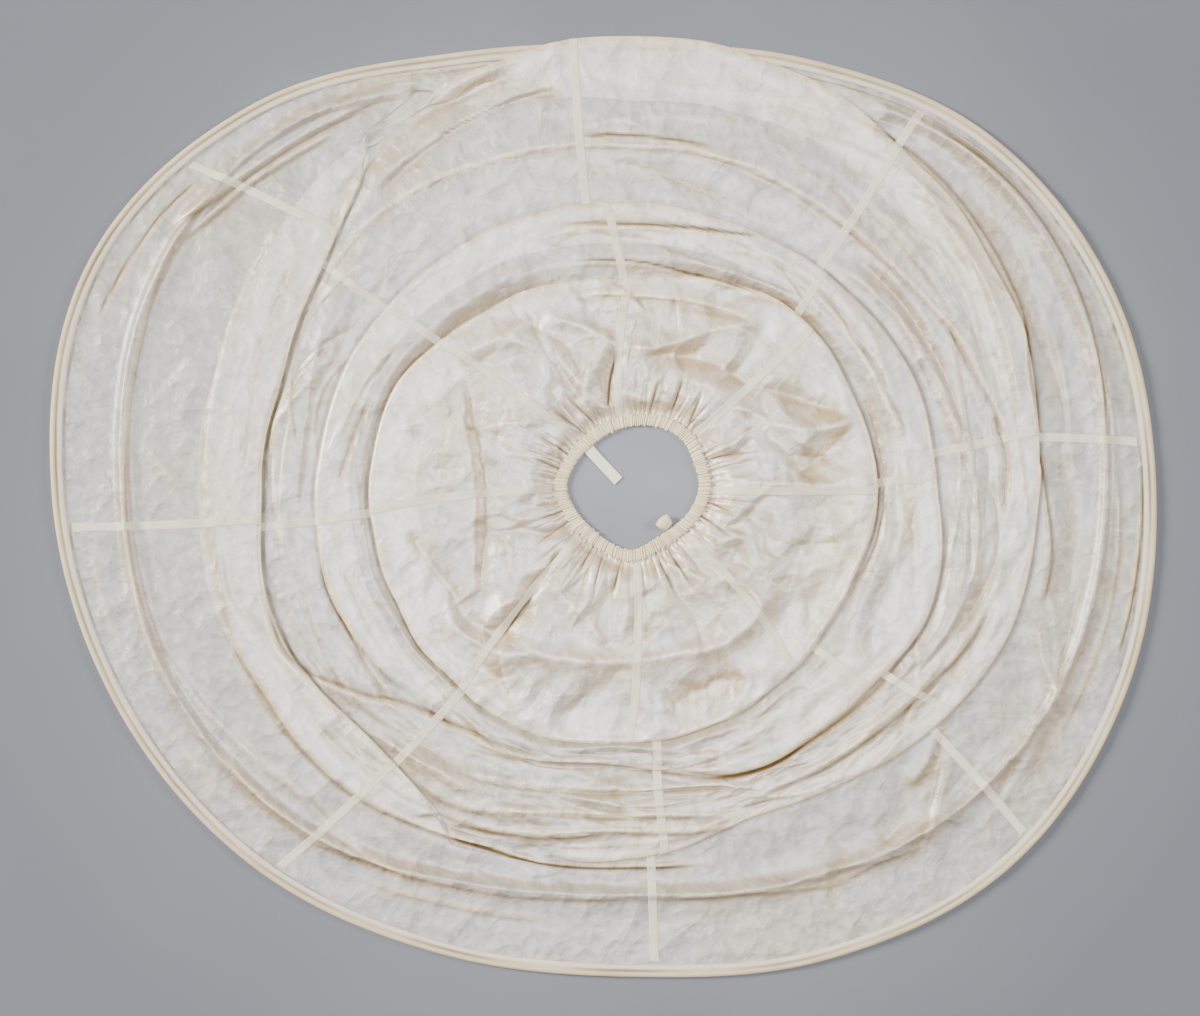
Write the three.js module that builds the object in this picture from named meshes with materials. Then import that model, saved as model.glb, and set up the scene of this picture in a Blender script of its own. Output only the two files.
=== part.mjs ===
// A sheer silk parachute canopy let down flat on a floor, in millimetres, +Z up.
// The cloth runs from a gathered vent out to a bound rim in eight gores. On the way it doubles back
// on itself three times, so every section through the vent is one back-and-forth line of layers.

import * as THREE from 'three';
import { LoftGeometry } from 'three/addons/geometries/LoftGeometry.js';

const { clamp, degToRad, euclideanModulo, lerp, mapLinear, radToDeg, smoothstep } = THREE.MathUtils;

// Thickness of the cloth and the seam tapes, and the gaps that sewn pieces keep from each other.
const CLOTH = 1.2;
const TAPE = 0.8;
const SEWN_GAP = 0.5;
const TAPE_GAP = 0.8;

// Plan of the canopy. Each row is one section, at equal turns counter-clockwise from +X about the
// vent's centre. Radii: vent hole, fold edges of the inner disc, the middle tier and the outer tier,
// the low ridge outside them, and the rim. A lap is the width that is doubled back at that fold: the
// upper layer folds under where it is positive, and the lower one folds up and over where negative.
const PLAN_COLUMNS = ['vent', 'disc', 'discLap', 'tier', 'tierLap', 'outer', 'outerLap', 'ridge', 'rim'];
const PLAN = [
  [80, 294, 60, 366, 50, 486, 60, 566, 628],
  [80, 286, 50, 361, 45, 504, 55, 574, 624],
  [83, 288, 45, 348, 42, 514, 55, 566, 602],
  [79, 271, 40, 341, 45, 534, 65, 520, 556],
  [74, 252, 40, 343, 50, 541, 75, 502, 533],
  [71, 264, 42, 350, 45, 535, 40, 528, 564],
  [70, 280, 50, 361, 40, 528, -50, 600, 648],
  [74, 308, 55, 373, 40, 518, -75, 623, 706],
  [78, 314, 55, 379, 42, 520, -75, 610, 696],
  [72, 314, 55, 383, 45, 517, -60, 600, 672],
  [68, 316, 50, 360, 33, 496, -62, 570, 642],
  [70, 317, 45, 353, 22, 470, -8, 511, 604],
  [74, 305, 45, 334, 16, 444, 52, 486, 586],
  [67, 299, 45, 366, 45, 421, 40, 508, 612],
  [67, 289, 50, 366, 50, 450, 55, 546, 642],
  [74, 286, 55, 385, 55, 482, 60, 564, 641],
];

// The three folds from the vent outwards: gap between layers, height of the lowest layer, height of
// the soft crown before the fold, and how much that crown rises and falls around the canopy.
const FOLDS = [
  { edge: 'disc', lap: 'discLap', gap: 7, low: 5, crown: 23, sway: 2, swayTurns: 3 },
  { edge: 'tier', lap: 'tierLap', gap: 7, low: 5, crown: 16, sway: 2, swayTurns: 5 },
  { edge: 'outer', lap: 'outerLap', gap: 7, low: 5, crown: 17, sway: 2.5, swayTurns: 4 },
];

// How a fold turns and fades: sharpest mitre of the cloth, reach of a turn, slant of its middle layer,
// lap at which it has become a step and sinks from there on, how much more lap makes it a full fold,
// and the spacing of its points where it lies open.
const MITRE_LIMIT = 0.5;
const TURN_REACH = 3;
const MIDDLE_SLANT = 0.7;
const FADED_LAP = 20;
const FULL_LAP = 12;
const OPEN_SPACING = 3;

// Least distance between one fold's edge and the next fold, and the place of the crown between them.
const FOLD_SPACING = 14;
const CROWN_PLACE = 0.55;

// Low ridge of the outer tier: height of the cloth beside it, rise, half width, and the distance
// from the outer fold at which it has its full rise.
const RIDGE_BASE = 5;
const RIDGE_RISE = 6;
const RIDGE_REACH = 11;
const RIDGE_ROOM = 45;

// Bearing of each seam in degrees, at the vent and at the rim, and the columns of the gore after it
// as shares of the way to the next seam. They stand closer where a fold opens.
const EVEN_COLUMNS = [0, 0.2, 0.4, 0.6, 0.8, 1];
const SEAMS = [
  { vent: -2, rim: 5, columns: EVEN_COLUMNS },
  { vent: 42, rim: 52, columns: EVEN_COLUMNS },
  { vent: 99, rim: 97, columns: [0, 0.19, 0.33, 0.43, 0.55, 0.66, 0.75, 0.86, 1] },
  { vent: 140, rim: 144, columns: EVEN_COLUMNS },
  { vent: 181, rim: 184, columns: EVEN_COLUMNS },
  { vent: 225, rim: 227, columns: [0, 0.2, 0.3, 0.37, 0.5, 0.68, 0.84, 1] },
  { vent: 273, rim: 273, columns: [0, 0.08, 0.14, 0.22, 0.4, 0.6, 0.8, 1] },
  { vent: 319, rim: 319, columns: EVEN_COLUMNS },
];
const SEAM_TAPE_WIDTH = 12;

// Rim binding, a tape folded around the cloth's edge with its lower leaf flat on the floor. The
// mouth is the room between its leaves, and the rounding is that of its folded outer edge.
const RIM_STEPS = 72;
const RIM_WIDTH = 15;
const RIM_HEIGHT = 7.6;
const RIM_LEAF = 1.2;
const RIM_MOUTH = 2;
const RIM_ROUNDING = 2.4;
const RIM_EDGE_DEPTH = 7;

// Vent band, a narrower folded band drawn up in gathers, each a rise and a reach of its upper leaf.
const VENT_GATHERS = 44;
const VENT_WIDTH = 14;
const VENT_HEIGHT = 6;
const VENT_LEAF = 1;
const VENT_MOUTH = 2;
const VENT_ROUNDING = 1.8;
const VENT_EDGE_DEPTH = 6;
const GATHER_RISE = 0.7;
const GATHER_REACH = 1.2;

// Cloth beside the bands: level just past the mouth of each, then rising from the vent to the disc.
const BAND_CLEARANCE = 4;
const VENT_SKIRT = 24;
const VENT_SKIRT_HEIGHT = 11;

// Tape tab: its size, the bearing of its root at the vent band and the heading in which it lies.
const TAB_WIDTH = 13;
const TAB_LENGTH = 52;
const TAB_THICKNESS = 1;
const TAB_BEARING = 138;
const TAB_HEADING = -47;

// Draw tie: a short tape end that leaves the band, turns over and comes back under itself. The turns
// are points of its middle line, as shares of its reach and height.
const TIE_WIDTH = 17;
const TIE_REACH = 15;
const TIE_HEIGHT = 9;
const TIE_THICKNESS = 1.2;
const TIE_BEARING = 313;
const TIE_INSET = 2.1;
const TIE_STEPS = 12;
const TIE_TURNS = [
  { reach: 0, height: 0.25 },
  { reach: 0.35, height: 0.85 },
  { reach: 0.8, height: 0.9 },
  { reach: 1, height: 0.45 },
  { reach: 0.7, height: 0.11 },
  { reach: 0.3, height: 0.11 },
];

const SILK = { color: 0xdcd9d2, roughness: 0.55 };
const CREAM = { color: 0xe6dcc3, roughness: 0.7 };
const YELLOWED = { color: 0xe8d3a6, roughness: 0.75 };

const canopy = new THREE.Group();

function addMesh(name, geometry, { color, roughness }) {
  const material = new THREE.MeshStandardMaterial({ color, roughness, metalness: 0 });
  const mesh = new THREE.Mesh(geometry, material);
  mesh.name = name;
  canopy.add(mesh);
}

function polar(radius, bearing, height) {
  const angle = degToRad(bearing);
  return new THREE.Vector3(radius * Math.cos(angle), radius * Math.sin(angle), height);
}

// Smooth value of one column of the plan at any bearing, in degrees.
function planAt(name, bearing) {
  const column = PLAN_COLUMNS.indexOf(name);
  const place = euclideanModulo(bearing / 360, 1) * PLAN.length;
  const first = Math.floor(place);
  const rows = [-1, 0, 1, 2].map((step) => PLAN[euclideanModulo(first + step, PLAN.length)]);
  const [a, b, c, d] = rows.map((row) => row[column]);
  const t = place - first;
  const bend = (2 * a - 5 * b + 4 * c - d) * t * t + (3 * (b - c) + d - a) * t * t * t;
  return b + 0.5 * ((c - a) * t + bend);
}

// One fold at a bearing, as radius and height of its points from the layer before to the one after.
// A fold that fades loses its lap first and becomes a step, and then the step sinks.
function foldAt(fold, bearing) {
  const lap = planAt(fold.lap, bearing);
  const width = Math.abs(lap);
  const share = Math.tanh(Math.max(width - FADED_LAP, 0) / FULL_LAP);
  const gap = fold.gap * smoothstep(width, 0, FADED_LAP);
  const outside = planAt(fold.edge, bearing);
  const inside = outside - width;
  const middle = fold.low + gap;
  const top = fold.low + 2 * gap;
  const before = lap > 0 ? top : fold.low;
  const after = lap > 0 ? fold.low : top;
  const slant = lap > 0 ? MIDDLE_SLANT : -MIDDLE_SLANT;
  const folded = [
    [inside - TURN_REACH, before],
    [outside - TURN_REACH, before],
    [outside, (before + middle) / 2],
    [outside - TURN_REACH, middle + slant],
    [inside + TURN_REACH, middle - slant],
    [inside, (middle + after) / 2],
    [inside + TURN_REACH, after],
  ];
  const last = folded.length - 1;
  return folded.map(([radius, height], index) => {
    const openRadius = outside - OPEN_SPACING * (last - index);
    const openHeight = lerp(before, after, index / last);
    return [lerp(openRadius, radius, share), lerp(openHeight, height, share)];
  });
}

// Middle line of the cloth in the section at a bearing, as radius and height from vent to rim.
function layersAt(bearing) {
  const ventLevel = VENT_LEAF + VENT_MOUTH / 2;
  const rimLevel = RIM_LEAF + RIM_MOUTH / 2;
  const vent = planAt('vent', bearing);
  const rim = planAt('rim', bearing);
  const folds = FOLDS.map((fold) => foldAt(fold, bearing));
  const [outerTurn] = folds[folds.length - 1].at(-1);
  const rimStart = rim - RIM_WIDTH - BAND_CLEARANCE;
  const nearest = outerTurn + TURN_REACH + OPEN_SPACING + RIDGE_REACH;
  const farthest = rimStart - OPEN_SPACING - RIDGE_REACH;
  const ridge = clamp(planAt('ridge', bearing), nearest, farthest);
  const line = [
    [vent + VENT_EDGE_DEPTH, ventLevel],
    [vent + VENT_WIDTH + BAND_CLEARANCE, ventLevel],
    [vent + VENT_WIDTH + VENT_SKIRT, VENT_SKIRT_HEIGHT],
  ];
  FOLDS.forEach((fold, index) => {
    const points = folds[index];
    const [start] = line[line.length - 1];
    const [inner, before] = points[0];
    const [lastTurn, after] = points[points.length - 1];
    const wave = Math.cos(degToRad(bearing * fold.swayTurns) + index);
    const crown = Math.min(fold.crown, before + fold.gap) + fold.sway * wave;
    const nextTurn = index + 1 < folds.length ? folds[index + 1][0][0] : ridge - RIDGE_REACH;
    const clear = Math.min(planAt(fold.edge, bearing), nextTurn - FOLD_SPACING);
    line.push(
      [lerp(start, inner, CROWN_PLACE), crown],
      ...points,
      [Math.max(clear, lastTurn + TURN_REACH), after],
    );
  });
  const rise = RIDGE_RISE * smoothstep(ridge - planAt('outer', bearing), 0, RIDGE_ROOM);
  line.push(
    [ridge - RIDGE_REACH, RIDGE_BASE],
    [ridge, RIDGE_BASE + rise],
    [ridge + RIDGE_REACH, RIDGE_BASE],
    [rimStart, rimLevel],
    [rim - RIM_EDGE_DEPTH, rimLevel],
  );
  return line;
}

// Line of a section moved sideways in its own plane, by its mitred normals.
function shifted(line, distance) {
  return line.map(([radius, height], index) => {
    const [back, ahead] = [index - 1, index + 1].map((step) => line[clamp(step, 0, line.length - 1)]);
    const into = new THREE.Vector2(radius - back[0], height - back[1]).normalize();
    const out = new THREE.Vector2(ahead[0] - radius, ahead[1] - height).normalize();
    const along = into.clone().add(out).normalize();
    const leg = index > 0 ? into : out;
    const mitre = distance / Math.max(along.dot(leg), MITRE_LIMIT);
    return [radius - along.y * mitre, height + along.x * mitre];
  });
}

// Bearings at the vent and at the rim of the column at a share of the way across a gore.
function columnBearings(gore, share) {
  const next = (gore + 1) % SEAMS.length;
  const turn = next === 0 ? 360 : 0;
  return {
    vent: lerp(SEAMS[gore].vent, SEAMS[next].vent + turn, share),
    rim: lerp(SEAMS[gore].rim, SEAMS[next].rim + turn, share),
  };
}

// Middle line of a column that drifts from one bearing to another as it runs outwards, and the
// bearing that it has reached at each point.
function columnLine({ vent, rim }) {
  const middle = layersAt((vent + rim) / 2);
  const first = middle[0][0];
  const last = middle[middle.length - 1][0];
  const reached = middle.map(([radius]) => mapLinear(radius, first, last, vent, rim));
  const line = reached.map((bearing, index) => layersAt(bearing)[index]);
  return { line, reached };
}

// Points of a column moved off the cloth's middle by a distance, and along its width by a slide.
function columnPoints({ line, reached }, distance, slide = 0) {
  return shifted(line, distance).map(([radius, height], index) => {
    const turn = radToDeg(slide / radius);
    return polar(radius, reached[index] + turn, height);
  });
}

// A closed strip of cloth from the upper and lower points of its columns. Both sides of the strip are
// cut into triangles along the same diagonals, so that it keeps its thickness where it twists.
function stripOf(upper, lower) {
  const columns = upper.length;
  const rows = upper[0].length;
  const top = (column, row) => column * rows + row;
  const bottom = (column, row) => (columns + column) * rows + row;
  const index = [];
  const addQuad = (a, b, c, d) => index.push(a, b, c, a, c, d);
  for (let column = 0, next = 1; next < columns; column += 1, next += 1) {
    for (let row = 0, outer = 1; outer < rows; row += 1, outer += 1) {
      addQuad(top(column, row), top(column, outer), top(next, outer), top(next, row));
      addQuad(bottom(column, row), bottom(next, row), bottom(next, outer), bottom(column, outer));
    }
    const last = rows - 1;
    addQuad(top(column, 0), top(next, 0), bottom(next, 0), bottom(column, 0));
    addQuad(top(column, last), bottom(column, last), bottom(next, last), top(next, last));
  }
  for (let row = 0, outer = 1; outer < rows; row += 1, outer += 1) {
    const last = columns - 1;
    addQuad(top(0, row), bottom(0, row), bottom(0, outer), top(0, outer));
    addQuad(top(last, row), top(last, outer), bottom(last, outer), bottom(last, row));
  }
  const geometry = new THREE.BufferGeometry().setFromPoints([...upper.flat(), ...lower.flat()]);
  geometry.setIndex(index);
  geometry.computeVertexNormals();
  return geometry;
}

function buildGores() {
  return SEAMS.map((seam, gore) => {
    const columns = seam.columns.map((share) => columnLine(columnBearings(gore, share)));
    const [upper, lower] = [CLOTH / 2, -CLOTH / 2].map((distance) => columns.map((column, step) => {
      const side = (step === 0) - (step === columns.length - 1);
      return columnPoints(column, distance, side * SEWN_GAP / 2);
    }));
    addMesh(`gore_${gore + 1}`, stripOf(upper, lower), SILK);
    return columns;
  });
}

// A tape over each seam, along the facets of the cloth on both sides of it.
function buildSeamTapes(gores) {
  const under = CLOTH / 2 + TAPE_GAP;
  gores.forEach((columns, gore) => {
    const before = gores[(gore + gores.length - 1) % gores.length];
    const across = [before[before.length - 2], columns[0], columns[1]];
    const [upper, lower] = [under + TAPE, under].map((distance) => {
      const seam = columnPoints(columns[0], distance);
      return across.map((column) => columnPoints(column, distance).map((point, row) => {
        const span = Math.max(point.distanceTo(seam[row]), SEAM_TAPE_WIDTH / 2);
        return seam[row].clone().lerp(point, SEAM_TAPE_WIDTH / 2 / span);
      }).slice(1, -1));
    });
    addMesh(`seam_tape_${gore + 1}`, stripOf(upper, lower), CREAM);
  });
}

// A ring of sections around one outline of the plan, closed on itself. A section is a list of
// distances out from that outline with heights.
function ringOf(steps, outline, sectionAt) {
  const sections = [];
  for (let step = 0; step < steps; step += 1) {
    const bearing = 360 * step / steps;
    const radius = planAt(outline, bearing);
    sections.push(sectionAt(step).map(([out, height]) => polar(radius + out, bearing, height)));
  }
  sections.push(sections[0]);
  return new LoftGeometry(sections);
}

function buildRimBinding() {
  const mouthTop = RIM_LEAF + RIM_MOUTH;
  const inner = RIM_ROUNDING + RIM_LEAF;
  const section = [
    [-RIM_WIDTH, RIM_LEAF],
    [-inner, RIM_LEAF],
    [-RIM_LEAF, inner],
    [-RIM_LEAF, RIM_HEIGHT - inner],
    [-inner, RIM_HEIGHT - RIM_LEAF],
    [-RIM_WIDTH, mouthTop],
    [-RIM_WIDTH, mouthTop + RIM_LEAF],
    [-RIM_ROUNDING, RIM_HEIGHT],
    [0, RIM_HEIGHT - RIM_ROUNDING],
    [0, RIM_ROUNDING],
    [-RIM_ROUNDING, 0],
    [-RIM_WIDTH, 0],
  ];
  addMesh('rim_binding', ringOf(RIM_STEPS, 'rim', () => section), CREAM);
}

function buildVentBand() {
  const mouthTop = VENT_LEAF + VENT_MOUTH;
  const inner = VENT_ROUNDING + VENT_LEAF;
  const geometry = ringOf(VENT_GATHERS * 2, 'vent', (step) => {
    const drawn = step % 2;
    const reach = VENT_WIDTH - GATHER_REACH * drawn;
    const rise = GATHER_RISE * (1 - drawn);
    return [
      [VENT_ROUNDING, 0],
      [0, VENT_ROUNDING],
      [0, VENT_HEIGHT - VENT_ROUNDING],
      [VENT_ROUNDING, VENT_HEIGHT + rise],
      [reach, mouthTop + VENT_LEAF + rise],
      [reach, mouthTop + rise],
      [inner, VENT_HEIGHT - VENT_LEAF + rise],
      [VENT_LEAF, VENT_HEIGHT / 2],
      [inner, VENT_LEAF],
      [reach, VENT_LEAF],
      [reach, 0],
    ];
  });
  addMesh('vent_band', geometry, CREAM);
}

function buildTapeTab() {
  const root = polar(planAt('vent', TAB_BEARING) - SEWN_GAP, TAB_BEARING, TAB_THICKNESS / 2);
  const geometry = new THREE.BoxGeometry(TAB_LENGTH, TAB_WIDTH, TAB_THICKNESS);
  geometry.translate(TAB_LENGTH / 2, 0, 0);
  geometry.rotateZ(degToRad(TAB_HEADING));
  geometry.translate(root.x, root.y, root.z);
  addMesh('tape_tab', geometry, CREAM);
}

function buildDrawTie() {
  const turns = TIE_TURNS.map(({ reach, height }) => (
    new THREE.Vector3(reach * TIE_REACH, height * TIE_HEIGHT, 0)
  ));
  const middle = new THREE.CatmullRomCurve3(turns).getPoints(TIE_STEPS).map(({ x, y }) => [x, y]);
  const [upper, lower] = [TIE_THICKNESS / 2, -TIE_THICKNESS / 2].map((distance) => (
    shifted(middle, distance).map(([x, y]) => new THREE.Vector2(x, y))
  ));
  const shape = new THREE.Shape([...lower, ...upper.reverse()]);
  const geometry = new THREE.ExtrudeGeometry(shape, { depth: TIE_WIDTH, bevelEnabled: false });
  geometry.translate(0, 0, -TIE_WIDTH / 2);
  geometry.rotateX(Math.PI / 2);
  geometry.rotateZ(degToRad(TIE_BEARING + 180));
  const root = polar(planAt('vent', TIE_BEARING) - TIE_INSET, TIE_BEARING, 0);
  geometry.translate(root.x, root.y, 0);
  addMesh('draw_tie', geometry, YELLOWED);
}

buildSeamTapes(buildGores());
buildRimBinding();
buildVentBand();
buildTapeTab();
buildDrawTie();

// The part's origin is at the middle of its outline, on the floor.
const middle = new THREE.Box3().setFromObject(canopy).getCenter(new THREE.Vector3());
canopy.children.forEach((mesh) => mesh.geometry.translate(-middle.x, -middle.y, 0));

export default canopy;
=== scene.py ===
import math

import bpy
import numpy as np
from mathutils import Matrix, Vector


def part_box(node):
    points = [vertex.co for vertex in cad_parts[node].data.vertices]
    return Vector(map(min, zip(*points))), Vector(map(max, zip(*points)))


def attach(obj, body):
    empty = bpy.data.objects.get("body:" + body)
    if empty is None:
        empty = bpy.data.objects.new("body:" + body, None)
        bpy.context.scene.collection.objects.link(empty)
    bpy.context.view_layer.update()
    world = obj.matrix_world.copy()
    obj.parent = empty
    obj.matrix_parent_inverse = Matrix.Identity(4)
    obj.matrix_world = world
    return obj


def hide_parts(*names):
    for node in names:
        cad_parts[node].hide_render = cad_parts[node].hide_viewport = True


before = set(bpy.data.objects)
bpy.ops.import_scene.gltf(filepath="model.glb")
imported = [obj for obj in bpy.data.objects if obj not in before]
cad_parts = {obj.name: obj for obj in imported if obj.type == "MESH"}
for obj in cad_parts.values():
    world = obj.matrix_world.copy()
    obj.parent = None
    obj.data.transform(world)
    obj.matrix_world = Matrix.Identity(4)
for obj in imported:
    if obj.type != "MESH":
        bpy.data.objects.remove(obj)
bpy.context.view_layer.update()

# A sheer silk parachute canopy let down flat on a floor, in the frame of its solids.
# One grid of points runs from the vent to the rim and all round the canopy. Its columns double back
# as the solids do, listed creases and a settling pass make it uneven, and the gores, tapes
# and bands are cut from it. Sizes are in millimetres and turned into metres as each mesh is made.

MM = 0.001

# Plan of the canopy, as in the solids: a row for each section, at equal turns counter-clockwise from
# +X about the vent's centre. Radii of the vent, the three folds' edges, the low ridge and the rim.
# A lap is the width doubled back at that fold, under the layer where positive and over it where not.
PLAN_COLUMNS = ("vent", "disc", "discLap", "tier", "tierLap", "outer", "outerLap", "ridge", "rim")
PLAN = np.array([
    (80, 294, 60, 366, 50, 486, 60, 566, 628),
    (80, 286, 50, 361, 45, 504, 55, 574, 624),
    (83, 288, 45, 348, 42, 514, 55, 566, 602),
    (79, 271, 40, 341, 45, 534, 65, 520, 556),
    (74, 252, 40, 343, 50, 541, 75, 502, 533),
    (71, 264, 42, 350, 45, 535, 40, 528, 564),
    (70, 280, 50, 361, 40, 528, -50, 600, 648),
    (74, 308, 55, 373, 40, 518, -75, 623, 706),
    (78, 314, 55, 379, 42, 520, -75, 610, 696),
    (72, 314, 55, 383, 45, 517, -60, 600, 672),
    (68, 316, 50, 360, 33, 496, -62, 570, 642),
    (70, 317, 45, 353, 22, 470, -8, 511, 604),
    (74, 305, 45, 334, 16, 444, 52, 486, 586),
    (67, 299, 45, 366, 45, 421, 40, 508, 612),
    (67, 289, 50, 366, 50, 450, 55, 546, 642),
    (74, 286, 55, 385, 55, 482, 60, 564, 641),
], dtype=float)

# How the cloth lies at the same bearings, from 0 to 1: how far each fold stands off the layer below it,
# and how strong the relief of each ring of cloth is.
LIE_COLUMNS = ("discLift", "tierLift", "outerLift", "discRelief", "tierRelief", "outerRelief", "skirtRelief")
LIE = np.array([
    (0.70, 0.4, 0.4, 0.9, 0.5, 0.4, 0.3),
    (0.50, 0.5, 0.4, 0.9, 0.5, 0.4, 0.3),
    (0.25, 0.5, 0.2, 0.7, 0.4, 0.4, 0.3),
    (0.15, 0.2, 0.1, 0.7, 0.3, 0.3, 0.1),
    (0.15, 0.1, 0.1, 0.6, 0.3, 0.2, 0.1),
    (0.40, 0.2, 0.0, 0.7, 0.3, 0.4, 0.3),
    (0.70, 0.3, 0.1, 0.7, 0.4, 0.3, 0.2),
    (0.50, 0.3, 0.4, 0.5, 0.3, 0.2, 0.1),
    (0.30, 0.3, 0.5, 0.5, 0.3, 0.2, 0.1),
    (0.20, 0.3, 0.3, 0.6, 0.4, 0.3, 0.2),
    (0.10, 0.3, 0.0, 0.7, 0.4, 0.5, 0.4),
    (0.10, 0.3, 0.0, 0.7, 0.6, 0.7, 0.4),
    (0.10, 0.2, 0.1, 0.7, 0.7, 0.7, 0.4),
    (0.15, 0.2, 0.1, 0.8, 0.7, 0.6, 0.4),
    (0.30, 0.4, 0.2, 0.9, 0.7, 0.6, 0.4),
    (0.60, 0.4, 0.3, 0.9, 0.6, 0.5, 0.4),
])

# Relief of each ring between two of the plan's edges: flat facets in so many cells across and around,
# whose heights change sign from cell to cell across the ring, or around it near the vent.
RELIEF = (
    dict(inner="vent", outer="disc", strength="discRelief", cells=(5, 26), height=4.5, turns="around"),
    dict(inner="disc", outer="tier", strength="tierRelief", cells=(3, 10), height=3.2, turns="across"),
    dict(inner="tier", outer="outer", strength="outerRelief", cells=(7, 12), height=3.6, turns="across"),
    dict(inner="outer", outer="rim", strength="skirtRelief", cells=(5, 12), height=2.6, turns="across"),
)
RELIEF_EDGE = 14
RELIEF_MOST = 1.2

# Sizes of facet, as times the cells and a share of the height, the least height of a facet, the share of
# facets with their sign turned round, how far facets wander as share of a cell, wave length and step of the
# seed, and the seeds of the rings.
RELIEF_OCTAVES = ((1, 1.0), (2, 0.45))
FACET_LEAST = 0.25
FACET_FLIPS = 0.15
FACET_WANDER = dict(across=(0.55, 190, 1000), around=(0.5, 160, 2000))
FACET_SEED = 100
FACET_SEED_STEP = 10

# How far the edges of folds sway, and how much calmer the relief is within reach of them.
EDGE_SWAY = 1.1
EDGE_SWAY_TURNS = 17
EDGE_CALM = 0.7
EDGE_CALM_REACH = 12

# The three folds from the vent outwards: gap between layers, height of the lowest layer, height of
# the soft crown before the fold, and how much that crown rises and falls around the canopy.
FOLDS = (
    dict(edge="disc", lap="discLap", lift="discLift", gap=4.5, low=4, crown=17, sway=1.5, sway_turns=3),
    dict(edge="tier", lap="tierLap", lift="tierLift", gap=4.5, low=4, crown=9, sway=1.2, sway_turns=5),
    dict(edge="outer", lap="outerLap", lift="outerLift", gap=4.5, low=4, crown=9, sway=1.5, sway_turns=4),
)
PRESSED_GAP = 1.5
TURN_REACH = 3
MIDDLE_SLANT = 0.7

# Laps up to the first width lie open and are closed within the second one beyond it. Points of an open fold
# are spaced by the third value, and a fold ends by the fourth before the next one.
FADED_LAP = 20
FULL_LAP = 12
OPEN_SPACING = 3
FOLD_SPACING = 14

# Where the crown lies between two folds, its most rise over the fold, and the low ridge inside the rim.
CROWN_PLACE = 0.55
CROWN_RISE = 4
RIDGE_BASE = 5
RIDGE_RISE = 6
RIDGE_REACH = 11
RIDGE_ROOM = 45

# Points of a section: three at the vent, nine for each fold and five from the ridge to the rim.
VENT_POINTS = 3
FOLD_POINTS = 9
RIM_POINTS = 5
SECTION_POINTS = VENT_POINTS + FOLD_POINTS * len(FOLDS) + RIM_POINTS

# Places along a section, counted in its points: from where the vent band holds the cloth to where it is
# free, from there to where the rim binding holds it, and the ends of the seam tapes and their stitches.
FREE_FROM_VENT = (1, 2.2)
HELD_AT_RIM = (31.5, 33)
TAPE_ENDS = (1.0, 33.0)
STITCH_ENDS = (1.2, 32.8)

# Places within a fold, counted from its first turn: where a layer goes under another and comes out again,
# for a lap that lies under the layer and for one over it, where the lower and upper layers beside its edge
# start or end, and the points of the fold after which its rows are hidden.
UNDER_LAP = ((1, 3), (6.6, 7))
OVER_LAP = ((-0.1, 0.1), (4, 6))
LOW_LAYER = dict(under=6, over=0.5)
HIGH_LAYER = dict(under=2.2, over=4.8)
HIDDEN_STEPS = (4, 7)

# Bands, tab and tie, as in the solids.
RIM_WIDTH = 15
RIM_LEAF = 1.2
RIM_MOUTH = 2
RIM_EDGE_DEPTH = 7
RIM_STEPS = 72
VENT_GATHERS = 168
VENT_WIDTH = 14
VENT_LEAF = 1
VENT_MOUTH = 2
VENT_EDGE_DEPTH = 6
BAND_CLEARANCE = 4
VENT_SKIRT = 24
VENT_SKIRT_HEIGHT = 11
SHOWN_SEAM_WIDTH = 10.5
TAB_WIDTH = 13
TAB_LENGTH = 52
TAB_BEARING = 138
TAB_HEADING = -47
TIE_WIDTH = 17
TIE_REACH = 15
TIE_HEIGHT = 9
TIE_BEARING = 313

# Bearing of each seam at both ends of the layers that show: disc, tier, outer tier and skirt. The
# cloth slid a little sideways inside its folds, so a seam jumps from one layer to the next.
SEAMS = np.array([
    ((-2, -0.5), (0, 2.5), (6, 8), (8, 5)),
    ((40, 42), (45, 48.5), (49, 52), (52, 52.5)),
    ((100, 91), (91, 95.5), (99.5, 97.5), (97.5, 97)),
    ((139, 142.5), (142.5, 143.5), (144, 144), (139.5, 144)),
    ((180, 184.8), (185, 186), (186, 186), (185, 184)),
    ((223, 229.5), (230, 230), (230, 229), (229, 227)),
    ((274, 270), (275.5, 275.5), (275, 275), (273, 272.7)),
    ((320, 312.5), (318, 320), (323, 324.5), (322, 318.5)),
], dtype=float)

# First and last section point of each of those layers.
LAYER_SPANS = ((0, 5), (10, 14), (19, 23), (28, 34))

# Grid of the cloth: columns of a gore and spacing of rows where they show and where they are hidden.
COLUMNS_PER_GORE = 136
ROW_SPACING = 2.3
HIDDEN_ROW_SPACING = 5

# Rows of stitches: their spacing, length and thread, how far they lie in from a seam tape's edges and
# above the tape, and the points of the rim's and the vent band's profiles that they follow.
STITCH_SPACING = 3.2
STITCH_LENGTH = 2.2
THREAD_WIDTH = 0.5
STITCH_INSET = 1.5
STITCH_LIFT = 0.55
BAND_STITCH_LIFT = 0.2
RIM_STITCH_POINT = 14
VENT_STITCH_POINT = 12
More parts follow.
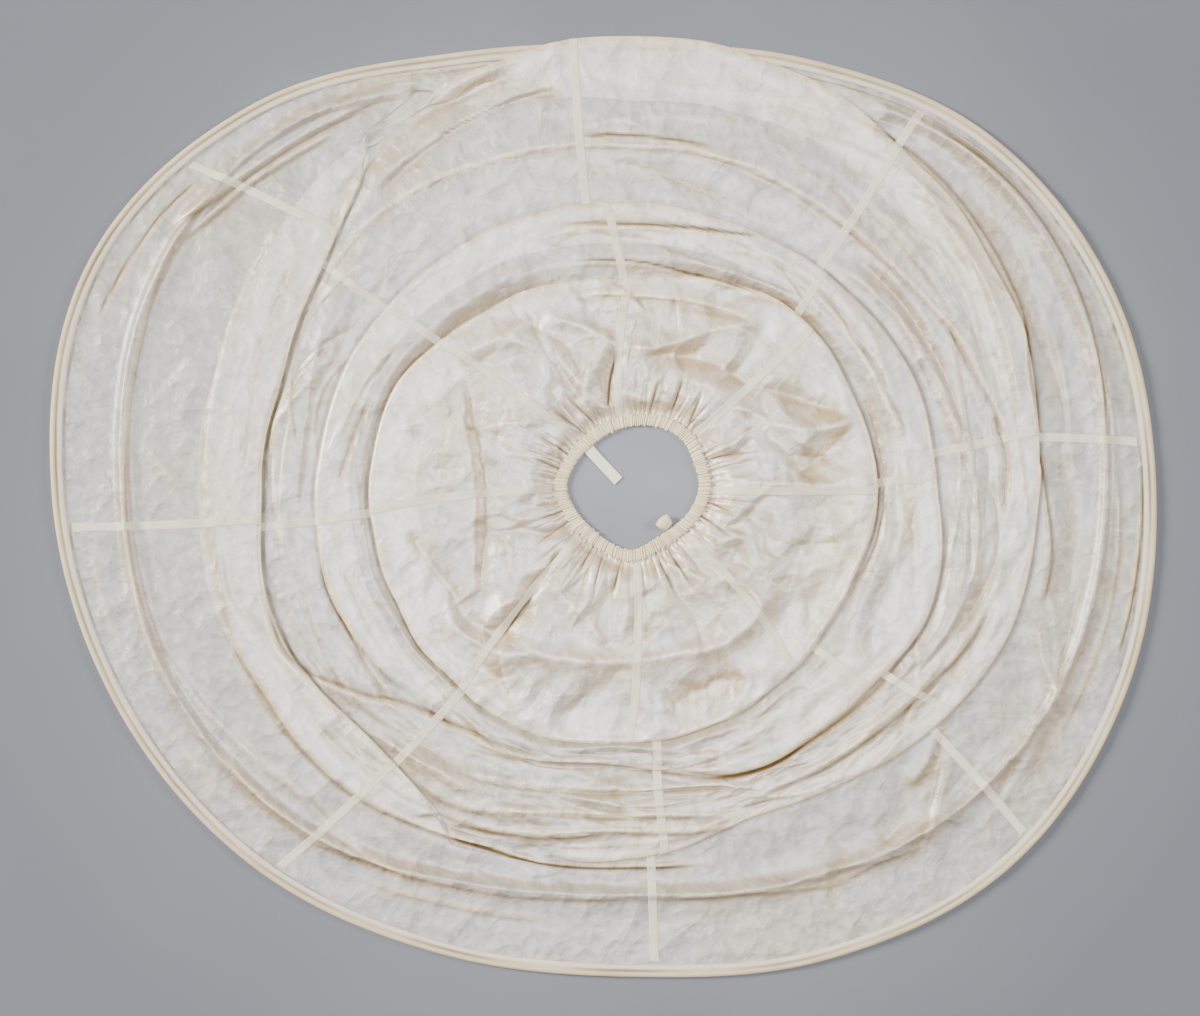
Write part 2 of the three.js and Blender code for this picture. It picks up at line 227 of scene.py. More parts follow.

# Creases listed one by one: what each is, its shape, half width and height, and its path as bearing and
# radius. A trough or ridge is where two flat slopes meet, a cleft is a trough with a dark valley, a line
# is a thin pressed edge, and a pleat or a slope is high on one side.
# A cleft's dark valley is painted shade.
CREASES = (
    ("skirt, lower left", "ridge", 6, 2.5, ((186, 654), (195, 646), (206, 632), (217, 612), (227, 598))),
    ("left band, upper step", "slope out", 6, 4,
     ((141, 531), (149, 524), (157, 520), (166, 515), (173, 513), (181, 511))),
    ("left band, lower step", "slope out", 6, 4,
     ((173, 513), (181, 511), (189, 507), (197, 509), (205, 509), (217, 506), (243, 476))),
    ("left skirt, long line", "pleat in", 5, 2.5,
     ((147, 620), (155, 620), (162, 615), (169, 611), (176, 607), (183, 607), (190, 606), (199, 604),
      (208, 592))),
    ("left band, outer streak", "ridge", 7, 2.5, ((177, 488), (165, 494), (152, 504), (143, 528))),
    ("left band, inner streak", "trough", 6, 2.5, ((180, 464), (167, 470), (153, 478), (144, 490))),
    ("left skirt, falling", "ridge", 4, 1.6, ((174, 594), (178, 560), (181, 530))),
    ("left skirt, rising", "ridge", 5, 2, ((171, 586), (165, 554), (161, 530))),
    ("left tier, lower", "ridge", 6, 2.4, ((173, 444), (165, 418), (159, 398))),
    ("left tier, upper", "trough", 6, 2.2, ((169, 446), (161, 420), (154, 396))),
    ("left inner tier, long", "ridge", 6, 2.5, ((177, 370), (167, 354), (155, 340), (148, 328))),
    ("left inner tier, short", "trough", 5, 2.5, ((180, 350), (172, 340), (161, 330))),
    ("upper left, outer pleat", "pleat in", 9, 5, ((152, 640), (144, 604), (134, 578), (122, 552))),
    ("upper left, inner pleat", "pleat in", 8, 4, ((152, 612), (143, 588), (135, 566), (129, 552))),
    ("upper left, beside the rim", "line", 3, 2.5, ((164, 672), (157, 662), (150, 650), (143, 630))),
    ("upper left, along the rim", "pleat out", 6, 3, ((130, 620), (119, 572), (111, 546), (104, 540))),
    ("top left, outer slant", "trough", 12, 4.5,
     ((142, 462), (135, 488), (125, 504), (114, 510), (102, 512))),
    ("top left, middle slant", "ridge", 9, 3.5, ((139, 460), (126, 478), (112, 484), (100, 492))),
    ("top left, inner slant", "trough", 8, 3.5, ((134, 454), (121, 472), (106, 484), (99, 480))),
    ("long line, top", "pleat in", 7, 2.5,
     ((156, 442), (148, 444), (141, 447), (134, 446), (126, 440), (114, 426), (100, 414), (89, 406),
      (79, 407), (68, 406), (54, 404))),
    ("long line, right", "pleat in", 8, 3.5,
     ((70, 404), (53, 403), (43, 407), (33, 416), (25, 428), (18, 435), (11, 447), (4, 452))),
    ("second line, top", "line", 2.4, 1.2, ((101, 424), (87, 417), (75, 414))),
    ("wedge at the top", "trough", 14, 1.8, ((100, 386), (89, 380), (70, 354))),
    ("tier, top line", "line", 2.4, 1.5, ((110, 326), (88, 312), (71, 322), (62, 336))),
    ("disc edge, second line", "line", 2.4, 1.5, ((108, 278), (88, 268), (72, 264), (53, 276))),
    ("disc, top line", "pleat in", 6, 2.5, ((110, 240), (88, 228), (70, 234), (52, 248))),
    ("right, beside the rim", "pleat out", 6, 2.5,
     ((41, 584), (35, 597), (29, 602), (23, 606), (16, 609), (10, 615))),
    ("right, outer pleat", "pleat out", 12, 5,
     ((62, 510), (52, 519), (44, 520), (36, 517), (29, 513), (23, 508), (17, 493), (11, 489), (5, 487))),
    ("right, ridge pleat", "pleat out", 10, 4.5,
     ((53, 557), (47, 565), (40, 576), (33, 582), (26, 582), (20, 580), (14, 575), (9, 570), (3, 565))),
    ("right, outer hollow", "trough", 12, 3.5,
     ((43, 533), (35, 536), (26, 530), (19, 524), (13, 525), (8, 527))),
    ("right, outer swell", "ridge", 10, 4, ((54, 504), (39, 492), (28, 486), (17, 476), (10, 470))),
    ("right tier, swell", "ridge", 9, 3.5, ((49, 362), (37, 374), (26, 384), (14, 392), (5, 396))),
    ("right tier, hollow", "trough", 9, 3.5, ((47, 382), (33, 392), (21, 396), (8, 404))),
    ("right inner tier", "pleat out", 8, 3, ((47, 321), (38, 319), (27, 319), (17, 324), (9, 334))),
    ("right, crevice", "trough", 6, 6, ((12, 438), (7, 446), (3, 448), (-5, 444))),
    ("right, pleat under the seam", "pleat out", 8, 5, ((7, 482), (-2, 494), (-10, 506), (-17, 508))),
    ("right, hollow under the seam", "trough", 12, 4, ((6, 516), (-2, 526), (-9, 532), (-16, 524))),
    ("right, long swell", "ridge", 9, 4, ((3, 394), (-5, 414), (-14, 420), (-23, 414), (-33, 404))),
    ("right, long hollow", "trough", 8, 4, ((3, 424), (-7, 442), (-16, 440), (-26, 422))),
    ("right skirt, pleat", "pleat out", 7, 3, ((2, 580), (-6, 586), (-16, 590), (-24, 590), (-34, 588))),
    ("right skirt, line", "line", 3, 2, ((7, 610), (-4, 610), (-13, 612), (-21, 614))),
    ("lower right bunch, inner", "pleat out", 11, 5,
     ((329, 380), (320, 374), (308, 368), (295, 366), (279, 350))),
    ("lower right bunch, outer", "pleat out", 13, 6,
     ((343, 450), (334, 438), (325, 422), (312, 408), (288, 394))),
    ("lower right, slant", "ridge", 12, 5.5, ((311, 604), (317, 582), (324, 576), (330, 564))),
    ("lower right, long hollow", "trough", 10, 5,
     ((324, 466), (321, 474), (315, 510), (309, 550), (305, 568))),
    ("lower right, rim hollow", "trough", 10, 4.5, ((325, 560), (323, 567), (317, 585), (311, 603))),
    ("lower right, upper swell", "ridge", 12, 5, ((342, 510), (337, 536), (332, 588))),
    ("lower right, middle swell", "ridge", 11, 5, ((320, 500), (313, 530), (307, 566))),
    ("lower right, low hollow", "trough", 10, 4, ((301, 500), (297, 530), (295, 566))),
    ("lower right, second slant", "trough", 11, 5, ((317, 602), (325, 596), (334, 584))),
    ("lower right, short slant", "ridge", 12, 5.5, ((312, 488), (319, 476), (325, 460))),
    ("lower right, cross slant", "trough", 11, 5, ((304, 526), (311, 498), (318, 492))),
    ("bottom wave", "pleat out", 9, 3.2, ((271, 490), (285, 502), (297, 532), (304, 536), (310, 558))),
    ("bottom, soft fold", "ridge", 9, 4, ((265, 538), (274, 538), (284, 546), (293, 540))),
    ("bottom, first fold", "pleat out", 7, 3.1,
     ((237, 362), (247, 350), (263, 332), (280, 344), (291, 360))),
    ("bottom, second fold", "pleat out", 8, 3.4,
     ((237, 398), (249, 380), (264, 364), (283, 366), (295, 398))),
    ("bottom, third fold", "pleat out", 8, 3.4,
     ((231, 438), (242, 432), (257, 398), (275, 394), (288, 410))),
    ("bottom, fourth fold", "pleat out", 7, 3.1,
     ((237, 468), (249, 438), (265, 412), (280, 418), (289, 424))),
    ("bottom, fifth fold", "pleat out", 7, 2.7,
     ((229, 556), (239, 536), (249, 516), (261, 498), (271, 490))),
    ("bottom, near the rim", "pleat out", 7, 3, ((235, 572), (246, 546), (260, 524))),
    ("bottom, low swell", "ridge", 7, 3, ((250, 560), (261, 538), (271, 538))),
    ("lower left, bunch edge", "pleat in", 14, 5.5,
     ((189, 447), (199, 463), (205, 464), (210, 449), (214, 426), (219, 401), (224, 376), (232, 360),
      (240, 350), (249, 353))),
    ("lower left, beside the disc", "pleat out", 8, 3.5,
     ((190, 374), (198, 380), (206, 378), (216, 381), (222, 382))),
    ("lower left, upper swell", "ridge", 10, 4,
     ((221, 432), (231, 414), (240, 413), (249, 409), (260, 397))),
    ("lower left, rim side", "pleat out", 7, 3,
     ((211, 588), (217, 581), (221, 576), (226, 566), (231, 555), (237, 542))),
    ("lower left, long pleat", "pleat out", 10, 4,
     ((196, 525), (202, 511), (210, 502), (216, 502), (224, 498), (230, 491), (240, 474), (248, 462),
      (258, 459))),
    ("bottom, long line", "line", 3, 2, ((240, 468), (248, 463), (258, 459), (271, 452), (284, 457))),
    ("lower left, swell", "ridge", 14, 5, ((211, 466), (223, 428), (238, 408), (252, 394))),
    ("lower left, outer swell", "ridge", 8, 3, ((198, 596), (206, 578), (216, 554), (227, 530))),
    ("lower left, short pleat", "pleat out", 8, 3.5,
     ((235, 480), (240, 451), (249, 440), (257, 428), (267, 411))),
    ("beside the disc, upper left", "trough", 9, 4,
     ((156, 306), (147, 296), (138, 286), (128, 276), (117, 266), (104, 258))),
    ("beside the disc, upper right", "trough", 8, 4, ((66, 266), (56, 276), (46, 290), (38, 294))),
    ("beside the disc, right", "trough", 8, 4.5, ((24, 294), (12, 298), (0, 302), (-12, 298), (-24, 292))),
    ("disc, left slope", "slope in", 13, 8,
     ((144, 246), (155, 215), (172, 186), (189, 182), (205, 201), (217, 235))),
    ("disc, upper left facet", "ridge", 20, 5, ((144, 261), (131, 238), (119, 232))),
    ("disc, upper left to the vent", "ridge", 18, 3.5, ((119, 232), (120, 184), (115, 123))),
    ("disc, crease to the vent", "cleft", 12, 5, ((107, 96), (101, 134), (95, 168))),
    ("disc, crease to the right", "ridge", 16, 4, ((95, 168), (78, 172), (62, 215), (50, 255))),
    ("disc, crease to the left", "ridge", 16, 4, ((95, 168), (107, 201), (119, 232))),
    ("disc, upper right", "trough", 18, 3.5, ((85, 160), (61, 174), (34, 191))),
    ("disc, hook on the right", "ridge", 10, 3, ((58, 147), (40, 154), (27, 177), (19, 154), (13, 125))),
    ("disc, right star, inward", "ridge", 22, 5, ((17, 278), (18, 225), (26, 175))),
    ("disc, right star, up", "trough", 18, 4, ((17, 278), (27, 230), (42, 181))),
    ("disc, right star, down", "trough", 18, 4, ((17, 278), (10, 233), (4, 194))),
    ("disc, right seam", "ridge", 14, 3, ((6, 102), (2, 166), (0, 278))),
    ("disc, hook at the lower right", "ridge", 16, 4.5,
     ((312, 115), (318, 169), (317, 209), (303, 216), (283, 205))),
    ("disc, bottom line", "ridge", 18, 5, ((227, 267), (240, 229), (263, 209), (280, 205), (302, 209))),
    ("disc, seam at the lower left", "cleft", 12, 5, ((219, 97), (226, 162), (228, 202), (229, 253))),
    ("disc, lower left facet", "ridge", 14, 3, ((225, 176), (222, 210), (223, 245))),
    ("disc, bottom fan", "ridge", 14, 3, ((230, 154), (248, 161), (262, 192))),
    ("disc, bottom seam", "trough", 12, 2.5, ((272, 118), (272, 182))),
    ("disc, bottom hollow", "trough", 26, 5, ((278, 269), (289, 257), (302, 261))),
    ("disc, lower left hollow", "trough", 16, 3, ((190, 272), (202, 254), (215, 245))),
    ("disc, left facet", "ridge", 14, 3, ((166, 280), (159, 253), (157, 231))),
)

# Deep gathers that leave the vent band: bearing at the band and at their end, end radius and depth.
GATHERS = (
    (21, 15, 174, 2.5),
    (48, 55, 150, 3),
    (62, 66, 158, 3.5),
    (77, 76, 140, 2.5),
    (120, 127, 142, 3),
    (131, 137, 146, 3),
    (152, 150, 128, 2),
    (165, 163, 130, 2),
    (198, 199, 128, 2),
    (208, 211, 142, 2.5),
    (236, 238, 132, 2.5),
    (246, 251, 150, 3.5),
    (261, 259, 140, 3),
    (290, 293, 146, 3.5),
    (300, 302, 162, 3),
    (338, 333, 136, 2),
    (350, 345, 132, 2),
)

# Small chance creases of each part of the cloth: its two bounds in the plan, how many creases, their
# least and greatest length, how far they slant from the way around, half width and height. They keep a
# margin from the part's inner bound and half of it from the outer one, and bow by a share of their length.
SMALL_CREASES = (
    dict(inner="vent", outer="disc", count=45, length=(50, 140), slant=80, width=(5, 12), height=(0.8, 2)),
    dict(inner="disc", outer="tier", count=45, length=(80, 240), slant=10, width=(3, 6), height=(0.7, 1.8)),
    dict(inner="tier", outer="outer", count=90, length=(100, 320), slant=9, width=(3, 7), height=(0.7, 2)),
    dict(inner="outer", outer="rim", count=50, length=(100, 320), slant=8, width=(3, 6), height=(0.6, 1.6)),
)
SMALL_CREASE_MARGIN = 24
SMALL_CREASE_BOW = 0.12
SMALL_CREASE_SEED = 41

# Creases of both kinds, listed and small: how much stronger they are made than their heights, how
# many half widths they reach, the share of their length over which they fade out at an end, and how far
# the edge of a pleat hangs over its low side for each millimetre of height, which fades away from the edge.
CREASE_STRENGTH = dict(placed=1.15, small=1)
CREASE_REACH = 4
CREASE_FADE = 0.18
OVERHANG = 0.4
OVERHANG_FADE = 2

# Profiles of creases in half widths: how steep and round ridges and troughs are, how steep slopes are and
# how fast they fade, and how wide a pleat's step is, how deep its low side and how fast that side fades.
RIDGE_STEEP = 1.5
RIDGE_ROUND = 0.15
SLOPE_STEEP = 1.8
SLOPE_FADE = 0.45
PLEAT_STEP_WIDTH = 0.09
PLEAT_LOW = 0.45
PLEAT_LOW_FADE = 1.6

# Marks beside creases, gathers and folds: how far inside the edge each lies, or outside it where below 0,
# how far it reaches, in millimetres, and its strength for listed creases and for small ones.
# The crevice marks are painted brown shade and the pleat shade mark is painted tan shade; the edge marks are
# creamy pressed edges.
MARKS = {
    "pleat crevice": dict(at=-2, reach=3.4, placed=1, small=1),
    "pleat shade": dict(at=-4.2, reach=6, placed=0.5, small=0.2),
    "pleat edge": dict(at=1.6, reach=3, placed=1, small=0.4),
    "line crevice": dict(at=-3, reach=2.6, placed=1, small=1),
    "line edge": dict(at=0, reach=2.6, placed=1, small=0.5),
    "ridge edge": dict(at=0, reach=2.6, placed=0.4, small=0.2),
    "cleft crevice": dict(at=0, reach=2, placed=1, small=1),
    "gather crevice": dict(at=0, reach=1.5, placed=0.8),
    "fold crevice": dict(at=-2.4, reach=3.2, placed=1),
    "fold edge": dict(at=1, reach=4, placed=1),
}

# Height of a pleat whose crevice would be fully dark with painted shade, the least and most painted shade
# that a pleat's crevice gets, how much painted shade troughs and slopes get, the width of a slope's painted
# shade, and how dark the painted shade in crevices is beside pressed folds and lifted ones.
CREVICE_HEIGHT = dict(placed=7, small=9)
CREVICE_RANGE = (0.1, 0.75)
TROUGH_SHADE = dict(placed=1.0, small=0.25)
SLOPE_SHADE = 1.6
SLOPE_SHADE_WIDTH = 0.7
FOLD_CREVICE = (0.35, 1.1)

# Gathers at the vent. Deep ones: half width at both ends, reach, and where they fade in and out. Small
# ones: uneven drift of their bearings as degrees, turns and seed, length with its sway in the same form,
# heights, where they start beyond the vent's edge, and how many section points beyond the vent they reach.
GATHER_WIDTHS = (2.4, 5)
GATHER_REACH = 20
GATHER_FADES = ((-0.3, 0.15), (0, 0.5))
GATHER_DRIFT = ((1.6, 9, 3), (0.5, 34, 4))
FINE_GATHER_LENGTH = 14
FINE_GATHER_SWAY = (9, 29, 5)
FINE_GATHER_LEAST = 4
FINE_GATHER_HEIGHT = 0.8
COARSE_GATHER_LENGTH = 20
COARSE_GATHER_HEIGHT = 0.6
GATHER_START = (6, 18)
GATHER_PLACES = 3

# Settling: how much longer the cloth is than its smooth lay, from vent to rim, around, and around beside
# the vent, how far a point may move where it lies free and between two layers, and how far it may sink.
SLACK_OUTWARDS = 0.02
SLACK_AROUND = 0.01
SLACK_AT_VENT = 0.03
FREE_MOVE = 5
COVERED_MOVE = 1.2
SINK = 3

# How far hidden layers lie below their lay, how near the floor cloth comes, the least share of a crease
# that a hidden layer takes, and how much of the height under the cloth a hollow may take.
HIDDEN_SINK = 1.2
FLOOR_CLEARANCE = 0.8
LEAST_SHARE = 0.1
DEEPEST_HOLLOW = 0.75

# Rows and columns in a step of the settling grid, rounds, pull of its links, stiffness, how covered a point
# is when held, as one part in so many, the least reach of a point and the least length of a link.
SETTLE_STEP = 4
SETTLE_ROUNDS = 260
SETTLE_PULL = 0.32
BENDING = 0.03
HELD_PART = 3
LEAST_REACH = 0.01
TINY = 1e-6

# Unevenness of that slack: its share, wave length and seed, where the vent's slack starts and how far it
# reaches, and how far the points start from their lay, with the seed.
UNEVEN_SLACK = (0.6, 110, 8)
VENT_SLACK_RADIUS = 95
VENT_SLACK_REACH = 60
START_SPREAD = 0.8
START_SEED = 7

# Reach of the narrow and wide hollows that are painted tan as shade, in rows and columns, and how much
# painted shade each millimetre of depth gives.
HOLLOW_REACHES = ((2, 0.45), (7, 0.2), (16, 0.1))

# Slope in degrees at which the cloth starts to be painted tan as shade on its slopes, and at which it is
# fully so.
SLANT_RANGE = (6, 30)

# How much tan painted shade slopes, shaded creases and hollows give the cloth, the most of it that a creamy
# edge keeps off, how creamy pressed edges and the cloth at the vent are, how far that reaches, and how
# covered a layer is where it starts to count as inside a fold and where it does so fully.
SLANT_TAN = 0.7
SHADE_TAN = 0.35
HOLLOW_TAN = 0.3
EDGE_KEPT = 0.9
PRESSED_CREAM = 0.9
VENT_TONE = 0.8
VENT_TONE_REACH = 11
INSIDE_RANGE = (0.4, 0.9)

# Values that the silk's mesh carries for its material; crevice, slant and inside carry painted shade. Then
# how much denser the disc's cloth looks and how much thinner the skirt's, where along a section the first
# ends and the second starts, and how much denser layers look that are hidden in a fold.
SILK_TONES = ("tone", "crevice", "slant", "body", "inside")
DISC_BODY = 0.14
DISC_PLACES = (4, 7)
SKIRT_BODY = -0.07
SKIRT_PLACES = (27, 29)
HIDDEN_BODY = 0.6

# Colours, as linear light.
SLUB_GREY = (0.62, 0.60, 0.55, 1)
WEAVE_TAN = (0.50, 0.43, 0.32, 1)
SURROUND_WHITE = (0.95, 0.97, 1.0, 1)
SILK_COOL = (0.90, 0.835, 0.77, 1)
SILK_WARM = (0.96, 0.75, 0.41, 1)
# Painted shade and sheen of the silk: tan on slopes and in hollows, paler and greyer sheen mottle, grey on
# layers hidden in a fold, and brown in crevices.
SILK_SHADE_TAN = (0.50, 0.36, 0.19, 1)
SILK_SHEEN_PALE = (0.95, 0.95, 0.97, 1)
SILK_SHEEN_GREY = (0.66, 0.64, 0.63, 1)
INSIDE_SHADE_GREY = (0.50, 0.47, 0.44, 1)
CREVICE_SHADE_BROWN = (0.13, 0.08, 0.032, 1)
LEAF_BEIGE = (0.70, 0.63, 0.52, 1)
TAPE_CREAM = (0.95, 0.88, 0.72, 1)
TAPE_TAN = (0.86, 0.74, 0.52, 1)
RIM_CREAM = (0.68, 0.56, 0.35, 1)
RIM_TAN = (0.52, 0.39, 0.21, 1)
TIE_YELLOW = (0.84, 0.72, 0.48, 1)
TIE_TAN = (0.70, 0.53, 0.28, 1)
VENT_CREAM = (0.93, 0.78, 0.51, 1)
THREAD_CREAM = (0.90, 0.80, 0.60, 1)
THREAD_TAN = (0.66, 0.52, 0.32, 1)
# A painted pool of light on the floor's middle, and the plain grey beyond.
FLOOR_PAINTED_LIGHT = (0.255, 0.264, 0.287, 1)
FLOOR_GREY = (0.138, 0.144, 0.158, 1)
FLOOR_SHADE = (0.128, 0.134, 0.148, 1)

# Patterns of the silk, in metres. Each noise has a scale and a detail, and each spread is the range of a
# pattern and what that range becomes.
SILK_THREAD = 0.0007
SLUB_STRETCH = (1, 14, 1)
SILK_NOISES = dict(slubs=(60.0, 1.0), crinkle=(75.0, 2.0), crumples=(15.0, 2.0), stains=(5.0, 2.0))
SILK_SPREADS = dict(
    stained=(0.42, 0.72, 0.0, 0.5),
    slubbed=(0.35, 0.65, 0.0, 0.06),
    # pale and grey: a mottle of painted sheen, paler and greyer patches.
    pale=(0.5, 0.68, 0.0, 0.35),
    grey=(0.5, 0.34, 0.0, 0.2),
    crumpled=(1.3, 1.8, 0.0, 0.45),
    cover=(0.35, 0.65, 0.48, 0.57),
    gaps=(0.0, 1.0, -0.03, 0.03),
    rough=(0.3, 0.7, 0.38, 0.48),
    # gloss: less gloss and coat in the painted shade of crevices, so that it stays dark.
    gloss=(0.0, 0.8, 0.9, 0.0),
)

# How warm the tone makes the silk, how much tone, slant and crevice add to its cover, how much the grey
# painted shade on layers inside a fold shows, heights of the crinkle and the weave beside that of the
# crumples, depth of all, and the satin's coat.
TONE_WARMTH = 0.9
TONE_COVER = 0.25
SLANT_COVER = 0.25
CREVICE_COVER = 0.35
INSIDE_SHARE = 0.85
CRINKLE_HEIGHT = 0.85
WEAVE_HEIGHT = 0.006
SILK_RELIEF = 0.004
SATIN_ROUGHNESS = 0.38
SATIN_IOR = 1.8

# Patterns of woven tape and of thread, in the same form, with the depth and strength of their bumps.
TAPE_RIB = 0.0011
TAPE_END = 0.0008
TAPE_AGE = (24.0, 5.0)
TAPE_BUMP = (0.00025, 0.5)
TAPE_SPREADS = dict(aged=(0.35, 0.75, 0.0, 0.55), shaded=(0.0, 0.6, 0.10, 0.0), rough=(0.3, 0.7, 0.62, 0.8))
# How strong the painted shade of grooves and gathers is on the tape.
TAPE_CREVICE = 0.8
TAPE_GAPS = (0.0, 0.5)
TAPE_COVER = (0.88, 0.97)
SEAM_COVER = (0.5, 0.7)
THREAD_TWIST = (1600.0, 2.0)
THREAD_AGE = (30.0, 4.0)
THREAD_BUMP = (0.0001, 0.5)
THREAD_SPREADS = dict(aged=(0.35, 0.7, 0.0, 0.6), twisted=(0.5, 0.3, 0.0, 0.4), rough=(0.3, 0.7, 0.55, 0.7))

# The floor in metres: half side, how far below the canopy it lies, grain, and where it is pale, as a painted
# pool of light in the middle, and grey.
FLOOR_SIDE = 6
FLOOR_LEVEL = -0.0004
FLOOR_GRAIN = (3.0, 6.0)
FLOOR_SPREADS = dict(away=(0.05, 0.8, 0.0, 1.0), grain=(0.3, 0.7, 0.0, 0.5))

# Lamps: place and side in metres and power in watts, all turned to the middle, and the even surround.
LAMPS = (
    dict(name="left_softbox", place=(-9, 2.5, 4.6), side=3, power=2750),
    dict(name="right_softbox", place=(9, 1.5, 4.6), side=3, power=950),
    dict(name="overhead_panel", place=(0, 0, 3.4), side=0.9, power=112),
)
SURROUND_STRENGTH = 0.12

# Framing of the photograph: width and middle of what it shows on the floor in metres, lens and sensor.
PHOTO_WIDTH = 1.44
PHOTO_MIDDLE = (-0.0036, -0.0014)
LENS = 70
SENSOR = 36

# Profiles as distances out from the outline and heights. The rim binding's tape goes from its lower leaf
# over the rolled edge and a sewn groove to the upper leaf and back inside, as does the vent band's.
RIM_PROFILE = np.array((
    (-15, 0.5), (-14.6, 0.05), (-12, 0), (-8, 0), (-4, 0), (-2, 0.1), (-0.7, 0.8), (0, 2.0), (0, 4.2),
    (-0.7, 5.6), (-2, 6.6), (-3.8, 7.0), (-5.6, 6.6), (-7, 5.5), (-7.8, 4.9), (-8.8, 5.3), (-10.5, 5.5),
    (-12.6, 5.0), (-14.4, 4.4), (-15, 4.1), (-14.6, 3.6), (-11, 3.9), (-7, 4.0), (-4, 3.0), (-7, 1.5),
    (-11, 1.3), (-14.6, 1.1),
))
VENT_PROFILE = np.array((
    (14, 0.2), (10, 0), (6, 0), (3, 0), (1.4, 0.2), (0.3, 0.8), (0, 1.8), (0.2, 2.8), (1, 3.5), (2.5, 4.0),
    (5, 4.2), (8, 4.2), (11, 4.0), (13.4, 3.8), (14, 3.5), (13.5, 3.2), (9, 3.2), (5, 3.2), (2.6, 2.4),
    (5, 1.3), (9, 1.1), (13.5, 1.0),
))
RIM_COLUMNS = 960
VENT_COLUMNS = 1500

# Puckers of the rim binding as height, turns and seed, the heights where they start and are full, the height
# above which its upper leaf lies, the painted shade of its sewn groove and inner edge as distance out, reach
# and darkness, the mean and sway of that painted shade with turns and seed, and how pale the inner leaf is
# from one depth to another.
RIM_PUCKERS = ((0.25, 90, 11), (0.2, 24, 12))
RIM_UPPER = (3.5, 5)
RIM_TOP = 3
RIM_GROOVES = ((-7.8, 1.3, 1.0), (-15, 0.6, 0.5))
GROOVE_DARK = (0.7, 0.3, 15, 13)
RIM_PALE = (0.8, 7.5, 9.5)

# Gathers of the vent band: mean depth, its sway as size, turns and seed, unevenness of the scallops in the
# same form, heights where gathers start and are full, how far scallops reach at both edges and between
# which distances, and how pale the outer edge is in the same form.
BAND_DEPTH = 0.6
BAND_DEPTH_SWAY = (0.4, 31, 9)
SCALLOP_SWAY = (1.1, 60, 10)
BAND_UPPER = (2.2, 3.4)
OUTER_SCALLOP = (1.5, 8, 14)
INNER_SCALLOP = (0.8, 0, 3)
VENT_PALE = (0.6, 9, 15)

# Profile of a seam tape, as shares of its half width and lifts off the cloth, and the lift of its underside.
SEAM_PROFILE = ((-1, 0.22), (-0.93, 0.4), (-0.5, 0.45), (0, 0.45), (0.5, 0.45), (0.93, 0.4), (1, 0.22))
SEAM_UNDERSIDE = 0.2

# Profile of the tab and the tie, as shares of the half width on the upper side, which the underside repeats
# the other way. Then the tab's thickness, place, points and bends, and the tie's, with its arch, its width
# from end to middle and its turns as shares of reach and height.
STRIP_UPPER = (-1, -0.96, -0.7, -0.35, 0, 0.35, 0.7, 0.96)
TAB_THICKNESS = 0.9
TAB_INSET = 0.5
TAB_STEPS = 40
TAB_LEVEL = 0.6
TAB_ROOT_RISE = 1.2
TAB_WAVE = (0.25, 7)
TIE_THICKNESS = 1.0
TIE_INSET = 2.1
TIE_ARCH = 2.2
TIE_SWELL = (0.8, 0.3)
TIE_TURNS = ((0, 0.3), (0.3, 0.85), (0.75, 0.95), (1, 0.5), (0.72, 0.13), (0.3, 0.12))


def smooth(value, low, high):
    """A soft step from 0 at low to 1 at high."""
    share = np.clip((value - low) / (high - low), 0, 1)
    return share * share * (3 - 2 * share)


def blend(low, high, share):
    """The value at a share of the way from low to high."""
    return low + (high - low) * share


def between(a, b, c, d, t):
    """A soft curve from b to c, with a before and d after them, at a share t of the way."""
    bend = (2 * a - 5 * b + 4 * c - d) * t ** 2 + (3 * (b - c) + d - a) * t ** 3
    return b + 0.5 * ((c - a) * t + bend)


def turned(radius, bearing):
    """X and Y about the vent, from a radius and a bearing in degrees."""
    angle = np.radians(bearing)
    return np.stack([radius * np.cos(angle), radius * np.sin(angle)], -1)


def plan_at(name, bearing):
    """Smooth value of one column of the plan, or of how the cloth lies, at any bearing in degrees."""
    known = name in PLAN_COLUMNS
    values = PLAN[:, PLAN_COLUMNS.index(name)] if known else LIE[:, LIE_COLUMNS.index(name)]
    place = np.asarray(bearing, dtype=float) / 360 % 1 * len(values)
    first = np.floor(place).astype(int)
    around = (values[(first + step) % len(values)] for step in (-1, 0, 1, 2))
    return between(*around, place - first)


def fold_share(fold, bearing):
    """How far a fold is closed at a bearing: 1 for a full fold, 0 where it lies open."""
    width = np.abs(plan_at(fold["lap"], bearing))
    return np.tanh(np.maximum(width - FADED_LAP, 0) / FULL_LAP)


def fold_gap(fold, bearing):
    """Distance between the layers of a fold at each bearing, less where the fold is pressed."""
    return blend(PRESSED_GAP, fold["gap"], np.clip(plan_at(fold["lift"], bearing), 0, 1))


def fold_edge(fold, bearing):
    """Radius of a fold's outer edge at each bearing, a little uneven."""
    return plan_at(fold["edge"], bearing) + EDGE_SWAY * ripple(bearing, EDGE_SWAY_TURNS, len(fold["edge"]))


